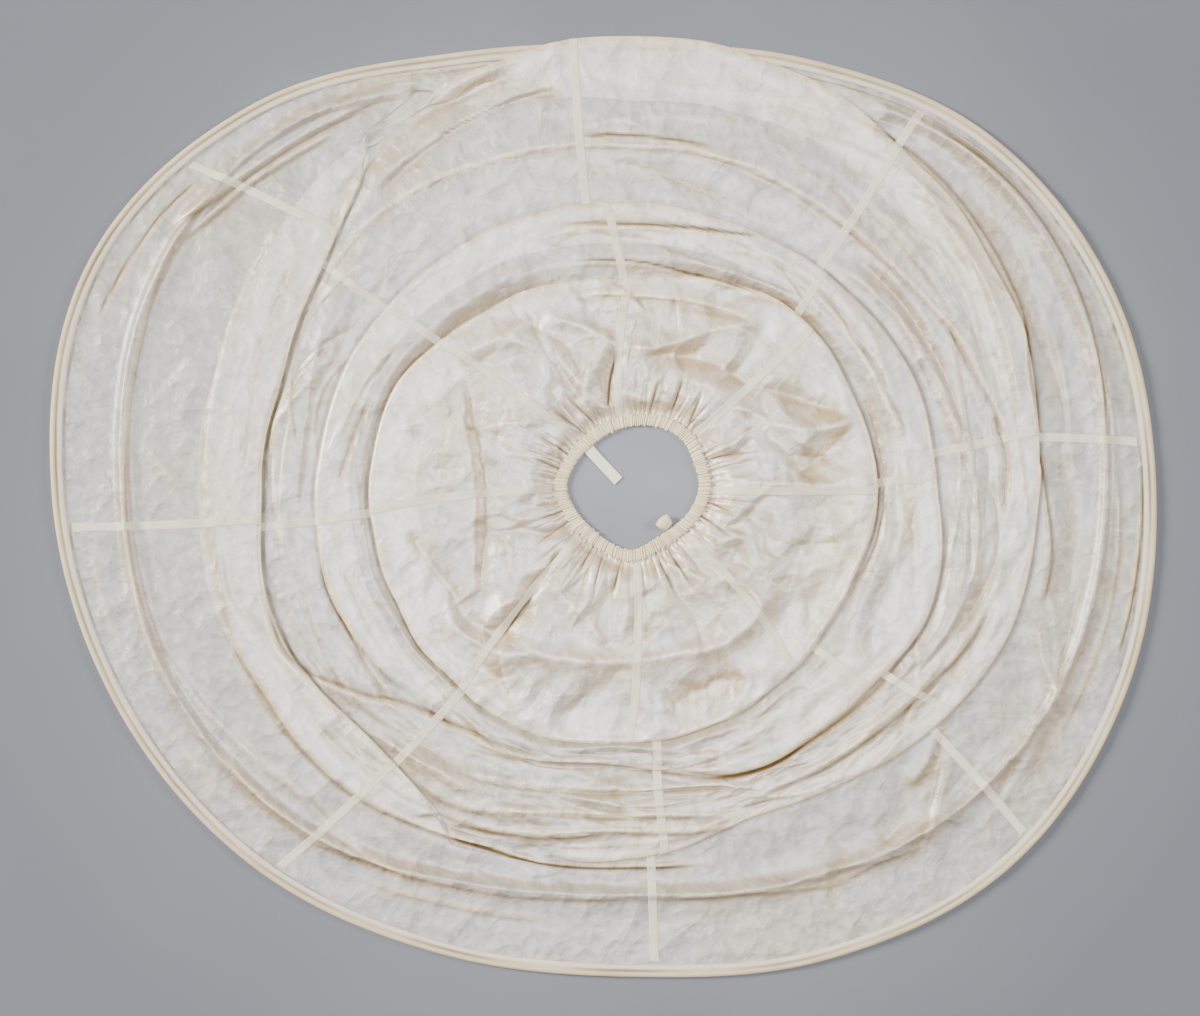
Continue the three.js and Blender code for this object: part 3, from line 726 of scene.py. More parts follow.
def fold_points(fold, bearing):
    """One fold at each bearing, as seven radii and heights from the layer before to the one after."""
    lap = plan_at(fold["lap"], bearing)
    share = fold_share(fold, bearing)
    gap = fold_gap(fold, bearing) * smooth(np.abs(lap), 0, FADED_LAP)
    outside = fold_edge(fold, bearing)
    inside = outside - np.abs(lap)
    middle = fold["low"] + gap
    top = fold["low"] + 2 * gap
    before = np.where(lap > 0, top, fold["low"])
    after = np.where(lap > 0, fold["low"], top)
    slant = np.where(lap > 0, MIDDLE_SLANT, -MIDDLE_SLANT)
    radii = (inside - TURN_REACH, outside - TURN_REACH, outside, outside - TURN_REACH,
             inside + TURN_REACH, inside, inside + TURN_REACH)
    heights = (before, before, (before + middle) / 2, middle + slant, middle - slant,
               (middle + after) / 2, after)
    last = len(radii) - 1
    radii = [blend(outside - OPEN_SPACING * (last - k), radius, share) for k, radius in enumerate(radii)]
    heights = [blend(blend(before, after, k / last), height, share) for k, height in enumerate(heights)]
    return np.stack(radii, -1), np.stack(heights, -1)


def section_points(bearing):
    """The middle line of the cloth at each bearing, as radii and heights from vent to rim."""
    bearing = np.asarray(bearing, dtype=float)
    level = np.ones_like(bearing)
    vent = plan_at("vent", bearing)
    rim = plan_at("rim", bearing)
    folds = [fold_points(fold, bearing) for fold in FOLDS]
    outer_turn = folds[-1][0][..., -1]
    rim_start = rim - RIM_WIDTH - BAND_CLEARANCE
    nearest = outer_turn + TURN_REACH + OPEN_SPACING + RIDGE_REACH
    ridge = np.clip(plan_at("ridge", bearing), nearest, rim_start - OPEN_SPACING - RIDGE_REACH)
    vent_level = VENT_LEAF + VENT_MOUTH / 2
    rim_level = RIM_LEAF + RIM_MOUTH / 2
    radii = [vent + VENT_EDGE_DEPTH, vent + VENT_WIDTH + BAND_CLEARANCE, vent + VENT_WIDTH + VENT_SKIRT]
    heights = [vent_level * level, vent_level * level, VENT_SKIRT_HEIGHT * level]
    for index, (fold, (turns, rises)) in enumerate(zip(FOLDS, folds)):
        wave = np.cos(np.radians(bearing * fold["sway_turns"]) + index)
        crown = np.minimum(fold["crown"], rises[..., 0] + CROWN_RISE) + fold["sway"] * wave
        following = folds[index + 1][0][..., 0] if index + 1 < len(folds) else ridge - RIDGE_REACH
        clear = np.minimum(fold_edge(fold, bearing), following - FOLD_SPACING)
        radii.append(blend(radii[-1], turns[..., 0], CROWN_PLACE))
        radii.extend(np.moveaxis(turns, -1, 0))
        radii.append(np.maximum(clear, turns[..., -1] + TURN_REACH))
        heights.append(crown)
        heights.extend(np.moveaxis(rises, -1, 0))
        heights.append(rises[..., -1])
    rise = RIDGE_RISE * smooth(ridge - plan_at("outer", bearing), 0, RIDGE_ROOM)
    radii += [ridge - RIDGE_REACH, ridge, ridge + RIDGE_REACH, rim_start, rim - RIM_EDGE_DEPTH]
    heights += [RIDGE_BASE * level, RIDGE_BASE + rise, RIDGE_BASE * level,
                rim_level * level, rim_level * level]
    return np.stack(radii, -1), np.stack(heights, -1)


def column_bearings():
    """Bearing of every column at both ends of the layers that show, all round the canopy."""
    seams = np.concatenate([SEAMS, SEAMS[:1] + 360])
    columns = []
    for gore in range(len(SEAMS)):
        for step in range(COLUMNS_PER_GORE):
            columns.append(blend(seams[gore], seams[gore + 1], step / COLUMNS_PER_GORE))
    return np.array(columns)


def column_points():
    """Radius, height and bearing of the section points of every column."""
    ends = column_bearings()
    radii, _ = section_points(ends.mean(axis=(1, 2)))
    reached = np.zeros_like(radii)
    for layer, (start, stop) in enumerate(LAYER_SPANS):
        span = radii[:, start:stop + 1]
        share = (span - span[:, :1]) / (span[:, -1:] - span[:, :1])
        reached[:, start:stop + 1] = blend(ends[:, layer, :1], ends[:, layer, 1:], share)
        if layer + 1 < len(LAYER_SPANS):
            hidden = np.arange(stop, LAYER_SPANS[layer + 1][0] + 1)
            share = (hidden - hidden[0]) / (hidden[-1] - hidden[0])
            reached[:, hidden] = blend(ends[:, layer, 1:], ends[:, layer + 1, :1], share)
    radii, heights = section_points(reached)
    points = np.arange(SECTION_POINTS)
    return np.stack([radii[:, points, points], heights[:, points, points], reached], -1)


def smooth_rows(points):
    """Rows of a soft curve through the points of every column, and the place of each row."""
    steps = np.diff(points, axis=1)
    lengths = np.hypot(steps[..., 0], steps[..., 1])
    knots = np.sqrt(lengths)[..., None]
    slopes = steps / knots
    tangents = np.empty_like(points)
    across = (points[:, 2:] - points[:, :-2]) / (knots[:, :-1] + knots[:, 1:])
    tangents[:, 1:-1] = slopes[:, :-1] - across + slopes[:, 1:]
    tangents[:, 0] = slopes[:, 0]
    tangents[:, -1] = slopes[:, -1]
    middles, turns = ([VENT_POINTS + FOLD_POINTS * fold + step for fold in range(len(FOLDS))]
                      for step in HIDDEN_STEPS)
    hidden = middles + turns[:-1]
    rows, places = [], []
    for index in range(points.shape[1] - 1):
        spacing = HIDDEN_ROW_SPACING if index in hidden else ROW_SPACING
        count = max(2, round(float(lengths[:, index].mean()) / spacing))
        for t in np.arange(count) / count:
            start = (1 + 2 * t) * (1 - t) ** 2 * points[:, index]
            stop = t * t * (3 - 2 * t) * points[:, index + 1]
            leave = t * (1 - t) ** 2 * knots[:, index] * tangents[:, index]
            arrive = t * t * (t - 1) * knots[:, index] * tangents[:, index + 1]
            rows.append(start + stop + leave + arrive)
            places.append(index + t)
    rows.append(points[:, -1])
    places.append(points.shape[1] - 1)
    return np.array(rows), np.array(places)


def fold_phase(places, index):
    """Place of each row within a fold, counted from the fold's first turn."""
    return (places - VENT_POINTS - FOLD_POINTS * index - 1)[:, None]


def window(phase, span):
    """1 between two soft steps and 0 outside them."""
    return smooth(phase, *span[0]) * (1 - smooth(phase, *span[1]))


def covered(places, bearing):
    """How far each point of the grid lies under another layer, from 0 to 1."""
    result = np.zeros_like(bearing)
    for index, fold in enumerate(FOLDS):
        phase = fold_phase(places, index)
        lap = plan_at(fold["lap"], bearing)
        lies_under = np.where(lap > 0, window(phase, UNDER_LAP), window(phase, OVER_LAP))
        result += fold_share(fold, bearing) * lies_under
    return np.clip(result, 0, 1)


def ripple(bearing, turns, seed, count=5):
    """An uneven wave around the canopy, from about -1 to 1."""
    chance = np.random.default_rng(seed)
    angle = np.radians(bearing)
    spread = turns // 3
    waves = []
    for _ in range(count):
        rate = turns + chance.integers(-turns // 3, spread + 1)
        waves.append(np.cos(angle * rate + chance.uniform(0, 2 * math.pi)))
    return sum(waves) / math.sqrt(count)


def wavy(spots, length, seed, count=7):
    """A slow uneven wave over the plan, from about -1 to 1."""
    chance = np.random.default_rng(seed)
    result = 0
    for _ in range(count):
        heading = chance.uniform(0, 2 * math.pi)
        turns = 2 * math.pi / (length * chance.uniform(0.6, 1.6))
        along = spots[:, 0] * math.cos(heading) + spots[:, 1] * math.sin(heading)
        result = result + np.cos(along * turns + chance.uniform(0, 2 * math.pi))
    return result / math.sqrt(count)


def facets(across, around, heights):
    """Height of flat facets between a lattice of heights, at places counted in its cells."""
    row, column = np.floor(across).astype(int), np.floor(around).astype(int)
    s, t = across - row, around - column
    rows, columns = heights.shape
    corners = ((0, 0), (1, 0), (0, 1), (1, 1))
    a, b, c, d = (heights[(row + i) % rows, (column + j) % columns] for i, j in corners)
    along = np.where(s >= t, a + s * (b - a) + t * (d - b), a + t * (c - a) + s * (d - c))
    beside = np.where(s + t < 1, a + s * (b - a) + t * (c - a), d + (1 - s) * (c - d) + (1 - t) * (b - d))
    return np.where(np.abs(a - d) < np.abs(b - c), along, beside)


def relief_field(spots):
    """Rise of the folds and facets that fill each ring of cloth, at each spot of the plan."""
    radius = np.hypot(spots[:, 0], spots[:, 1])
    bearing = np.degrees(np.arctan2(spots[:, 1], spots[:, 0])) % 360
    rise = np.zeros(len(spots))
    for index, ring in enumerate(RELIEF):
        inner, outer = plan_at(ring["inner"], bearing), plan_at(ring["outer"], bearing)
        outer = np.maximum(outer, inner + 2 * RELIEF_EDGE)
        share = (radius - inner) / (outer - inner)
        edge = smooth(radius - inner, 0, RELIEF_EDGE) * smooth(outer - radius, -2, RELIEF_EDGE)
        strength = ring["height"] * edge * np.clip(plan_at(ring["strength"], bearing), 0, RELIEF_MOST)
        for octave, (times, weight) in enumerate(RELIEF_OCTAVES):
            seed = FACET_SEED + FACET_SEED_STEP * index + octave
            rows, columns = (count * times for count in ring["cells"])
            heights = facet_heights(rows + 2, columns, ring["turns"], seed)
            wander = {way: size * wavy(spots, length / times, seed + step)
                      for way, (size, length, step) in FACET_WANDER.items()}
            across = share * rows + wander["across"]
            around = bearing / 360 * columns + wander["around"]
            rise += strength * weight * facets(across, around, heights)
    return rise


def facet_heights(rows, columns, turns, seed):
    """Chance heights of a lattice that change sign from row to row or from column to column."""
    chance = np.random.default_rng(seed)
    heights = chance.uniform(FACET_LEAST, 1, (rows, columns))
    turn = np.arange(columns)[None] if turns == "around" else np.arange(rows)[:, None]
    sign = np.where(chance.uniform(0, 1, heights.shape) < FACET_FLIPS, -1, 1)
    return heights * (sign * np.where(turn % 2 == 0, 1, -1))


def soft_path(points, steps=8):
    """A soft curve through a crease's bearings and radii, as x and y about the vent."""
    bearing, radius = soft_turns(np.array(points, dtype=float), steps).T
    return turned(radius, bearing)


def soft_turns(points, steps=10):
    """A soft curve through a few points."""
    padded = np.concatenate([2 * points[:1] - points[1:2], points, 2 * points[-1:] - points[-2:-1]])
    spans = zip(padded, padded[1:], padded[2:], padded[3:])
    curve = [between(*span, t) for span in spans for t in np.arange(steps) / steps]
    return np.array([*curve, points[-1]])


def path_distance(spots, path):
    """Distance from each spot to a path, the place along it from 0 to 1, how far inside it the spot
    lies, and the way outwards across the path there."""
    start, leg = path[:-1], np.diff(path, axis=0)
    size = (leg ** 2).sum(-1)
    lead = spots[:, None] - start[None]
    share = np.clip((lead * leg).sum(-1) / size, 0, 1)
    nearest = start + share[..., None] * leg
    gap = np.linalg.norm(spots[:, None] - nearest, axis=-1)
    best = gap.argmin(axis=1)
    rows = np.arange(len(spots))
    place = (best + share[rows, best]) / len(leg)
    foot = nearest[rows, best]
    across = np.stack([-leg[best, 1], leg[best, 0]], -1) / np.sqrt(size[best])[:, None]
    across *= np.sign((across * foot).sum(-1))[:, None]
    inward = ((foot - spots) * across).sum(-1)
    return gap[rows, best], place, inward, across


def crease_profile(shape, distance, inward):
    """Height of a crease across its path, for distances in half widths."""
    if shape in ("ridge", "trough", "cleft"):
        tent = np.exp(RIDGE_STEEP * (RIDGE_ROUND - np.hypot(distance, RIDGE_ROUND)))
        return tent if shape == "ridge" else -tent
    if shape == "line":
        return np.exp(-distance ** 2)
    side = pleat_side(shape, distance, inward)
    if shape in ("slope in", "slope out"):
        return 0.5 * np.tanh(SLOPE_STEEP * side) * np.exp(-SLOPE_FADE * np.abs(side))
    step = pleat_step(side)
    low = PLEAT_LOW * (1 - step) * np.exp(PLEAT_LOW_FADE * np.minimum(side, 0))
    return step * np.exp(-np.maximum(side, 0)) - low


def pleat_side(shape, distance, inward):
    """Distance from a pleat's edge on its high side, below 0 on its low side."""
    return np.sign(inward) * distance * (1 if shape.endswith("out") else -1)


def pleat_step(side):
    """1 on the high side of a pleat's edge and 0 on its low side."""
    most = 40
    return 1 / (1 + np.exp(-np.clip(side / PLEAT_STEP_WIDTH, -most, most)))


def mark(name, distance, kind="placed"):
    """How strong one of the marks is at each distance inside a crease's or a fold's edge."""
    row = MARKS[name]
    return row[kind] * np.exp(-((distance - row["at"]) / row["reach"]) ** 2)


def chance_creases():
    """Small creases scattered over each part of the cloth, in the form of the table of creases."""
    chance = np.random.default_rng(SMALL_CREASE_SEED)
    shapes = ("ridge", "trough", "pleat in", "pleat out")
    for zone in SMALL_CREASES:
        for _ in range(zone["count"]):
            bearing = chance.uniform(0, 360)
            inner = float(plan_at(zone["inner"], bearing)) + SMALL_CREASE_MARGIN
            outer = float(plan_at(zone["outer"], bearing)) - SMALL_CREASE_MARGIN / 2
            radius = chance.uniform(inner, max(outer, inner + 1))
            half = chance.uniform(*zone["length"]) / 2
            slant = math.radians(chance.normal(0, zone["slant"]))
            turn = math.degrees(half * math.cos(slant) / radius)
            climb = half * math.sin(slant)
            bow = chance.normal(0, SMALL_CREASE_BOW) * half
            ends = ((bearing - turn, radius - climb), (bearing + turn, radius + climb))
            points = (ends[0], (bearing, radius + bow), ends[1])
            shape = shapes[chance.integers(len(shapes))]
            yield "small", shape, chance.uniform(*zone["width"]), chance.uniform(*zone["height"]), points


def crease_field(spots):
    """What the creases and gathers do at each spot of the plan: their rise, how far they push the cloth
    sideways, how sharply pressed it is, how dark the painted shade in their crevices is and how much painted
    shade their hollows and slopes get."""
    fields = {key: np.zeros(len(spots)) for key in ("rise", "pressed", "crevice", "shade")}
    fields["push"] = np.zeros(spots.shape)
    for crease in (*CREASES, *chance_creases()):
        add_crease(fields, spots, *crease)
    for gather in GATHERS:
        add_gather(fields, spots, *gather)
    for key, most in (("pressed", 1), ("crevice", 1), ("shade", SLOPE_SHADE)):
        fields[key] = np.clip(fields[key], 0, most)
    return fields


def add_crease(fields, spots, name, shape, width, height, points):
    """Adds what one crease does to the fields."""
    kind = "small" if name == "small" else "placed"
    path = soft_path(points)
    near = spots_near(spots, path, CREASE_REACH * width)
    distance, place, inward, across = path_distance(spots[near], path)
    taper = smooth(place, 0, CREASE_FADE) * smooth(1 - place, 0, CREASE_FADE)
    height *= CREASE_STRENGTH[kind]
    fields["rise"][near] += height * taper * crease_profile(shape, distance / width, inward)
    if shape in ("pleat in", "pleat out"):
        out = 1 if shape == "pleat out" else -1
        side = pleat_side(shape, distance, inward)
        hang = OVERHANG * height * taper
        over = hang * pleat_step(side / width) * np.exp(-OVERHANG_FADE * np.maximum(side / width, 0))
        fields["push"][near] += out * over[:, None] * across
        # Painted shade of a pleat: brown in the crevice under its edge and tan on its low side.
        deep = np.clip(height / CREVICE_HEIGHT[kind], *CREVICE_RANGE)
        fields["crevice"][near] += deep * taper * mark("pleat crevice", side + hang, kind)
        fields["shade"][near] += taper * mark("pleat shade", side + hang, kind)
        fields["pressed"][near] += taper * mark("pleat edge", side, kind)
    if shape in ("line", "ridge"):
        fields["pressed"][near] += taper * mark(f"{shape} edge", distance, kind)
    # Painted shade: brown in the crevices of lines and clefts, tan along troughs, clefts and slopes.
    if shape == "line":
        fields["crevice"][near] += taper * mark("line crevice", inward, kind)
    if shape == "cleft":
        fields["crevice"][near] += taper * mark("cleft crevice", distance, kind)
    if shape in ("cleft", "trough"):
        fields["shade"][near] += TROUGH_SHADE[kind] * taper * np.exp(-(distance / width) ** 2)
    if shape in ("slope in", "slope out"):
        flat = np.exp(-(distance / (SLOPE_SHADE_WIDTH * width)) ** 4)
        fields["shade"][near] += SLOPE_SHADE * taper * flat


def add_gather(fields, spots, start, stop, radius, depth):
    """Adds what one deep gather at the vent band does to the fields."""
    vent = float(plan_at("vent", start)) + VENT_WIDTH
    middle = (blend(start, stop, 0.5), blend(vent, radius, 0.5))
    path = soft_path(((start, vent), middle, (stop, radius)))
    near = spots_near(spots, path, GATHER_REACH)
    distance, place, inward, _ = path_distance(spots[near], path)
    fade_in, fade_out = GATHER_FADES
    taper = smooth(place, *fade_in) * smooth(1 - place, *fade_out)
    width = blend(*GATHER_WIDTHS, place)
    fields["rise"][near] += depth * taper * crease_profile("trough", distance / width, inward)
    # Painted shade along the gather's valley.
    fields["crevice"][near] += taper * mark("gather crevice", distance)


def spots_near(spots, path, reach):
    """Which spots lie in the box around a path."""
    low, high = path.min(axis=0) - reach, path.max(axis=0) + reach
    column = np.flatnonzero((spots[:, 0] > low[0]) & (spots[:, 0] < high[0]))
    row = spots[column, 1]
    return column[(row > low[1]) & (row < high[1])]


def gather_phase(bearing):
    """Phase of the small uneven gathers around the vent band."""
    drifted = bearing
    for degrees, turns, seed in GATHER_DRIFT:
        drifted = drifted + degrees * ripple(bearing, turns, seed)
    return np.radians(drifted * VENT_GATHERS)


def gathered(phase):
    """Rounded tops with sharp valleys between them, from -1 to 1."""
    return 2 * np.abs(np.cos(phase / 2)) - 1


def small_gathers(radius, bearing):
    """Rise of the small gathers that fan out from the vent band, and how dark the painted shade in their
    valleys is.
    """
    out = beyond_vent_band(radius, bearing)
    phase = gather_phase(bearing) / 2
    sway, turns, seed = FINE_GATHER_SWAY
    length = np.maximum(FINE_GATHER_LENGTH + sway * ripple(bearing, turns, seed), FINE_GATHER_LEAST)
    fine = gathered(phase) * np.exp(-out / length)
    far = out / COARSE_GATHER_LENGTH
    coarse = gathered(phase / 2 + 1) * far * np.exp(1 - far)
    dark = np.clip(-gathered(phase), 0, 1) ** 3 * np.exp(-out / length)
    return FINE_GATHER_HEIGHT * fine + COARSE_GATHER_HEIGHT * coarse, dark


def beyond_vent_band(radius, bearing):
    """How far each point lies outside the vent band."""
    return np.maximum(radius - plan_at("vent", bearing) - VENT_WIDTH, 0)


def thinned(grid, step):
    """Every so many rows and columns of the grid, with the last row kept."""
    rows = np.unique(np.append(np.arange(0, grid.shape[0], step), grid.shape[0] - 1))
    return rows, grid[rows][:, ::step]


def widened(field, rows, shape, step):
    """A field on the thinned grid brought back softly to every row and column."""
    count = field.shape[1]
    place = np.arange(shape[1]) / step
    first = np.floor(place).astype(int)
    wide = between(*(field[:, (first + k) % count] for k in (-1, 0, 1, 2)), (place - first)[:, None])
    row = np.interp(np.arange(shape[0]), rows, np.arange(len(rows)))
    first = np.minimum(np.floor(row).astype(int), len(rows) - 2)
    beside = (wide[np.clip(first + k, 0, len(rows) - 1)] for k in (-1, 0, 1, 2))
    return between(*beside, (row - first)[:, None, None])


def links(points, down, beside):
    """Links from each point to the one so many rows and columns on."""
    return np.roll(points, -beside, axis=1)[down:] - points[:len(points) - down]


def bending(points):
    """How far each point lies from the middle of its four neighbours."""
    middle = (np.roll(points, 1, axis=1) + np.roll(points, -1, axis=1)) / 2
    result = (middle - points) / 2
    result[1:-1] += ((points[2:] + points[:-2]) / 2 - points[1:-1]) / 2
    return result


def settle(base, start, slack, reach):
    """Lets cloth that is a little too long for its lay buckle, held within reach of that lay."""
    ways = ((1, 0), (0, 1), (1, 1), (1, -1))
    rests = []
    for down, beside in ways:
        length = np.linalg.norm(links(base, down, beside), axis=-1)
        outwards, around = slack[0][:len(length)], slack[1][:len(length)]
        longer = (down * outwards + abs(beside) * around) / (down + abs(beside))
        rests.append((length * (1 + longer))[..., None])
    flat = bending(base)
    points = start.copy()
    for _ in range(SETTLE_ROUNDS):
        move = np.zeros_like(points)
        for (down, beside), rest in zip(ways, rests):
            link = links(points, down, beside)
            size = np.linalg.norm(link, axis=-1, keepdims=True)
            fix = link * (0.5 * (1 - rest / np.maximum(size, TINY)))
            move[:len(fix)] += fix
            move[down:] -= np.roll(fix, beside, axis=1)
        points += SETTLE_PULL * move
        points += BENDING * (bending(points) - flat)
        shift = points - base
        shift[..., 2] = np.maximum(shift[..., 2], -SINK)
        size = np.linalg.norm(shift, axis=-1, keepdims=True)
        points = base + shift * np.minimum(1, reach / np.maximum(size, TINY))
        points[..., 2] = np.maximum(points[..., 2], FLOOR_CLEARANCE)
    return points


def fold_tops(places, bearing):
    """Height of the top layer over each point that lies inside a fold."""
    tops = np.ones(bearing.shape)
    for index, fold in enumerate(FOLDS):
        phase = fold_phase(places, index)
        inside = (phase > -1) & (phase < FOLD_POINTS - 1)
        tops = np.where(inside, fold["low"] + 2 * fold_gap(fold, bearing), tops)
    return tops


def fold_edges(radius, bearing):
    """How near each point is to the edge of a fold that shows, from 0 to 1."""
    result = np.zeros_like(bearing)
    for fold in FOLDS:
        lap = plan_at(fold["lap"], bearing)
        edge = fold_edge(fold, bearing) + np.minimum(lap, 0)
        near = np.exp(-((radius - edge) / EDGE_CALM_REACH) ** 2)
        result = np.maximum(result, fold_share(fold, bearing) * near)
    return result


def edge_lines(places, radius, bearing):
    """How dark the painted shade on the lower layer just beside each fold's edge is, and how creamy the edge
    itself is.
    """
    crevice = np.zeros_like(bearing)
    cream = np.zeros_like(bearing)
    for index, fold in enumerate(FOLDS):
        phase = fold_phase(places, index)
        lap = plan_at(fold["lap"], bearing)
        edge = fold_edge(fold, bearing)
        inward = np.where(lap > 0, edge - radius, radius - edge - lap)
        low = np.where(lap > 0, phase > LOW_LAYER["under"], phase < LOW_LAYER["over"])
        high = np.where(lap > 0, phase < HIGH_LAYER["under"], phase > HIGH_LAYER["over"])
        near = (phase > -1) & (phase < FOLD_POINTS)
        share = near * fold_share(fold, bearing)
        # The painted shade beside a fold's edge is darker where the fold stands off further.
        stands = np.clip(blend(*FOLD_CREVICE, plan_at(fold["lift"], bearing)), 0, 1)
        crevice += share * stands * low * mark("fold crevice", inward)
        cream += share * high * mark("fold edge", inward)
    return np.clip(crevice, 0, 1), np.clip(cream, 0, 1)


def box_mean(field, reach):
    """Mean of a field over so many rows and columns to each side."""
    size = 2 * reach + 1
    wide = np.concatenate([field[:, -reach:], field, field[:, :reach]], axis=1)
    total = np.concatenate([np.zeros((len(wide), 1)), np.cumsum(wide, axis=1)], axis=1)
    wide = (total[:, size:] - total[:, :-size]) / size
    tall = np.concatenate([wide[:1]] * reach + [wide] + [wide[-1:]] * reach)
    total = np.concatenate([np.zeros((1, tall.shape[1])), np.cumsum(tall, axis=0)])
    return (total[size:] - total[:-size]) / size


def hollows(height):
    """How far each point lies in a hollow, narrow or wide, from 0 to 1."""
    return np.clip(sum(weight * (box_mean(height, reach) - height) for reach, weight in HOLLOW_REACHES), 0, 1)


def canopy_grid():
    """Points of the settled cloth with what its pieces need to know about each of them."""
    rows, places = smooth_rows(column_points())
    radius, height, bearing = np.moveaxis(rows, -1, 0)
    lay = np.concatenate([turned(radius, bearing), height[..., None]], -1)
    hidden = covered(places, bearing)
    spots = lay[..., :2].reshape(-1, 2)
    flat_fields = crease_field(spots)
    fields = {key: field.reshape(*radius.shape, *field.shape[1:]) for key, field in flat_fields.items()}
    rise = fields["rise"] + relief_field(spots).reshape(radius.shape)
    rise *= 1 - EDGE_CALM * fold_edges(radius, bearing)
    free = window(places, (FREE_FROM_VENT, HELD_AT_RIM))[:, None]
    tops = fold_tops(places, bearing)
    share = free * blend(1, np.clip(height / tops, LEAST_SHARE, 1), hidden)
    rise = np.maximum(rise, -DEEPEST_HOLLOW * np.maximum(height, tops))
    beside_vent = (places < VENT_POINTS + GATHER_PLACES)[:, None] * (1 - hidden)
    beside_vent = beside_vent * smooth(radius - plan_at("vent", bearing), *GATHER_START)
    gathers, dark = small_gathers(radius, bearing)
    points = lay.copy()
    points[..., :2] += fields["push"] * share[..., None]
    points[..., 2] += rise * share + beside_vent * gathers - HIDDEN_SINK * hidden
    points[..., 2] = np.maximum(points[..., 2], FLOOR_CLEARANCE)
    points += settled_shift(points, lay, radius, hidden, free)
    points[..., 2] = np.maximum(points[..., 2], FLOOR_CLEARANCE)
    grid = dict(points=points, places=places, lay=lay)
    # Painted shade: brown beside creases, fold edges and the vent's gathers, tan on slopes and in hollows,
    # and grey on layers hidden in a fold.
    beside_edges, edges = edge_lines(places, radius, bearing)
    crevice = fields["crevice"] * (1 - hidden) + beside_edges + beside_vent * dark
    grid["crevice"] = np.clip(crevice, 0, 1)
    vent_tone = VENT_TONE * np.exp(-beyond_vent_band(radius, bearing) / VENT_TONE_REACH)
    grid["tone"] = np.clip(edges + PRESSED_CREAM * fields["pressed"] + vent_tone, 0, 1)
    sharp = np.clip(edges + fields["pressed"], 0, EDGE_KEPT)
    grid["slant"] = cloth_slant(points, height, fields["shade"], hidden) * (1 - sharp)
    grid["inside"] = smooth(hidden, *INSIDE_RANGE)
    body = blend(DISC_BODY, 0, smooth(places, *DISC_PLACES)) + SKIRT_BODY * smooth(places, *SKIRT_PLACES)
    grid["body"] = body[:, None] + HIDDEN_BODY * grid["inside"]
    return grid


def settled_shift(points, lay, radius, hidden, free):
    """How far each point moves as the cloth settles, found on a thinned grid."""
    kept, base = thinned(points, SETTLE_STEP)
    spots = lay[kept][:, ::SETTLE_STEP, :2].reshape(-1, 2)
    bare = 1 - np.clip(HELD_PART * hidden, 0, 1)[kept][:, ::SETTLE_STEP]
    loose = np.broadcast_to(free, radius.shape)[kept][:, ::SETTLE_STEP]
    beyond = np.maximum(radius - VENT_SLACK_RADIUS, 0)[kept][:, ::SETTLE_STEP]
    near_vent = np.exp(-beyond / VENT_SLACK_REACH)
    chance = np.random.default_rng(START_SEED)
    share, length, seed = UNEVEN_SLACK
    uneven = loose * (1 + share * wavy(spots, length, seed).reshape(bare.shape))
    slack = (SLACK_OUTWARDS * uneven, (SLACK_AROUND + SLACK_AT_VENT * near_vent) * uneven)
    reach = loose * blend(COVERED_MOVE, FREE_MOVE, bare) + LEAST_REACH
    start = base + chance.normal(0, START_SPREAD, base.shape) * (bare * loose)[..., None]
    settled = settle(base, start, slack, reach[..., None])
    return widened(settled - base, kept, radius.shape, SETTLE_STEP)


def cloth_slant(points, height, shade, hidden):
    """How much tan painted shade the cloth gets on its slopes, along its shaded creases and in its hollows,
    from 0 to 1.
    """
    slope = np.degrees(np.arccos(np.clip(np.abs(grid_normals(points)[..., 2]), 0, 1)))
    slant = SLANT_TAN * smooth(slope, *SLANT_RANGE) + SHADE_TAN * shade
    slant = slant + HOLLOW_TAN * hollows(points[..., 2] - height)
    return np.clip((1 - hidden) * slant, 0, 1)


def vent_centre():
    """The vent's centre in the frame, from the box of the rim binding's solid."""
    bearing = np.arange(RIM_STEPS) * 360 / RIM_STEPS
    outline = turned(plan_at("rim", bearing), bearing)
    return np.array(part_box("rim_binding")[0][:2]) - outline.min(axis=0) * MM


CENTRE = np.append(vent_centre(), 0)


def new_mesh(name, points, faces, uv=None, values=None, material=None):
    """An object from points in millimetres about the vent, faces, and values for each point."""
    mesh = bpy.data.meshes.new(name)
    mesh.from_pydata((points * MM + CENTRE).tolist(), [], faces)
    mesh.polygons.foreach_set("use_smooth", [True] * len(mesh.polygons))
    corners = np.empty(len(mesh.loops), dtype=int)
    mesh.loops.foreach_get("vertex_index", corners)
    if uv is not None:
        layer = mesh.uv_layers.new(name="cloth")
        layer.data.foreach_set("uv", (uv[corners] * MM).ravel().astype(np.float32))
    for key, field in (values or {}).items():
        attribute = mesh.attributes.new(key, "FLOAT", "POINT")
        attribute.data.foreach_set("value", field.ravel().astype(np.float32))
    mesh.update()
    piece = bpy.data.objects.new(name, mesh)
    bpy.context.scene.collection.objects.link(piece)
    if material is not None:
        mesh.materials.append(material)
    return piece


def grid_faces(rows, columns, closed_rows=False, closed_columns=False):
    """Quads of a grid of points, closed on itself along either way where asked."""
    row = np.arange(rows if closed_rows else rows - 1)
    column = np.arange(columns if closed_columns else columns - 1)
    row, column = np.meshgrid(row, column, indexing="ij")
    here, below = row * columns, (row + 1) % rows * columns
    beside = (column + 1) % columns
    corners = (here + column, below + column, below + beside, here + beside)
    return np.stack(corners, -1).reshape(-1, 4).tolist()


def dress(piece, node):
    """Lets a piece ride on the canopy in place of its solid."""
    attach(piece, "root")
    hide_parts(node)


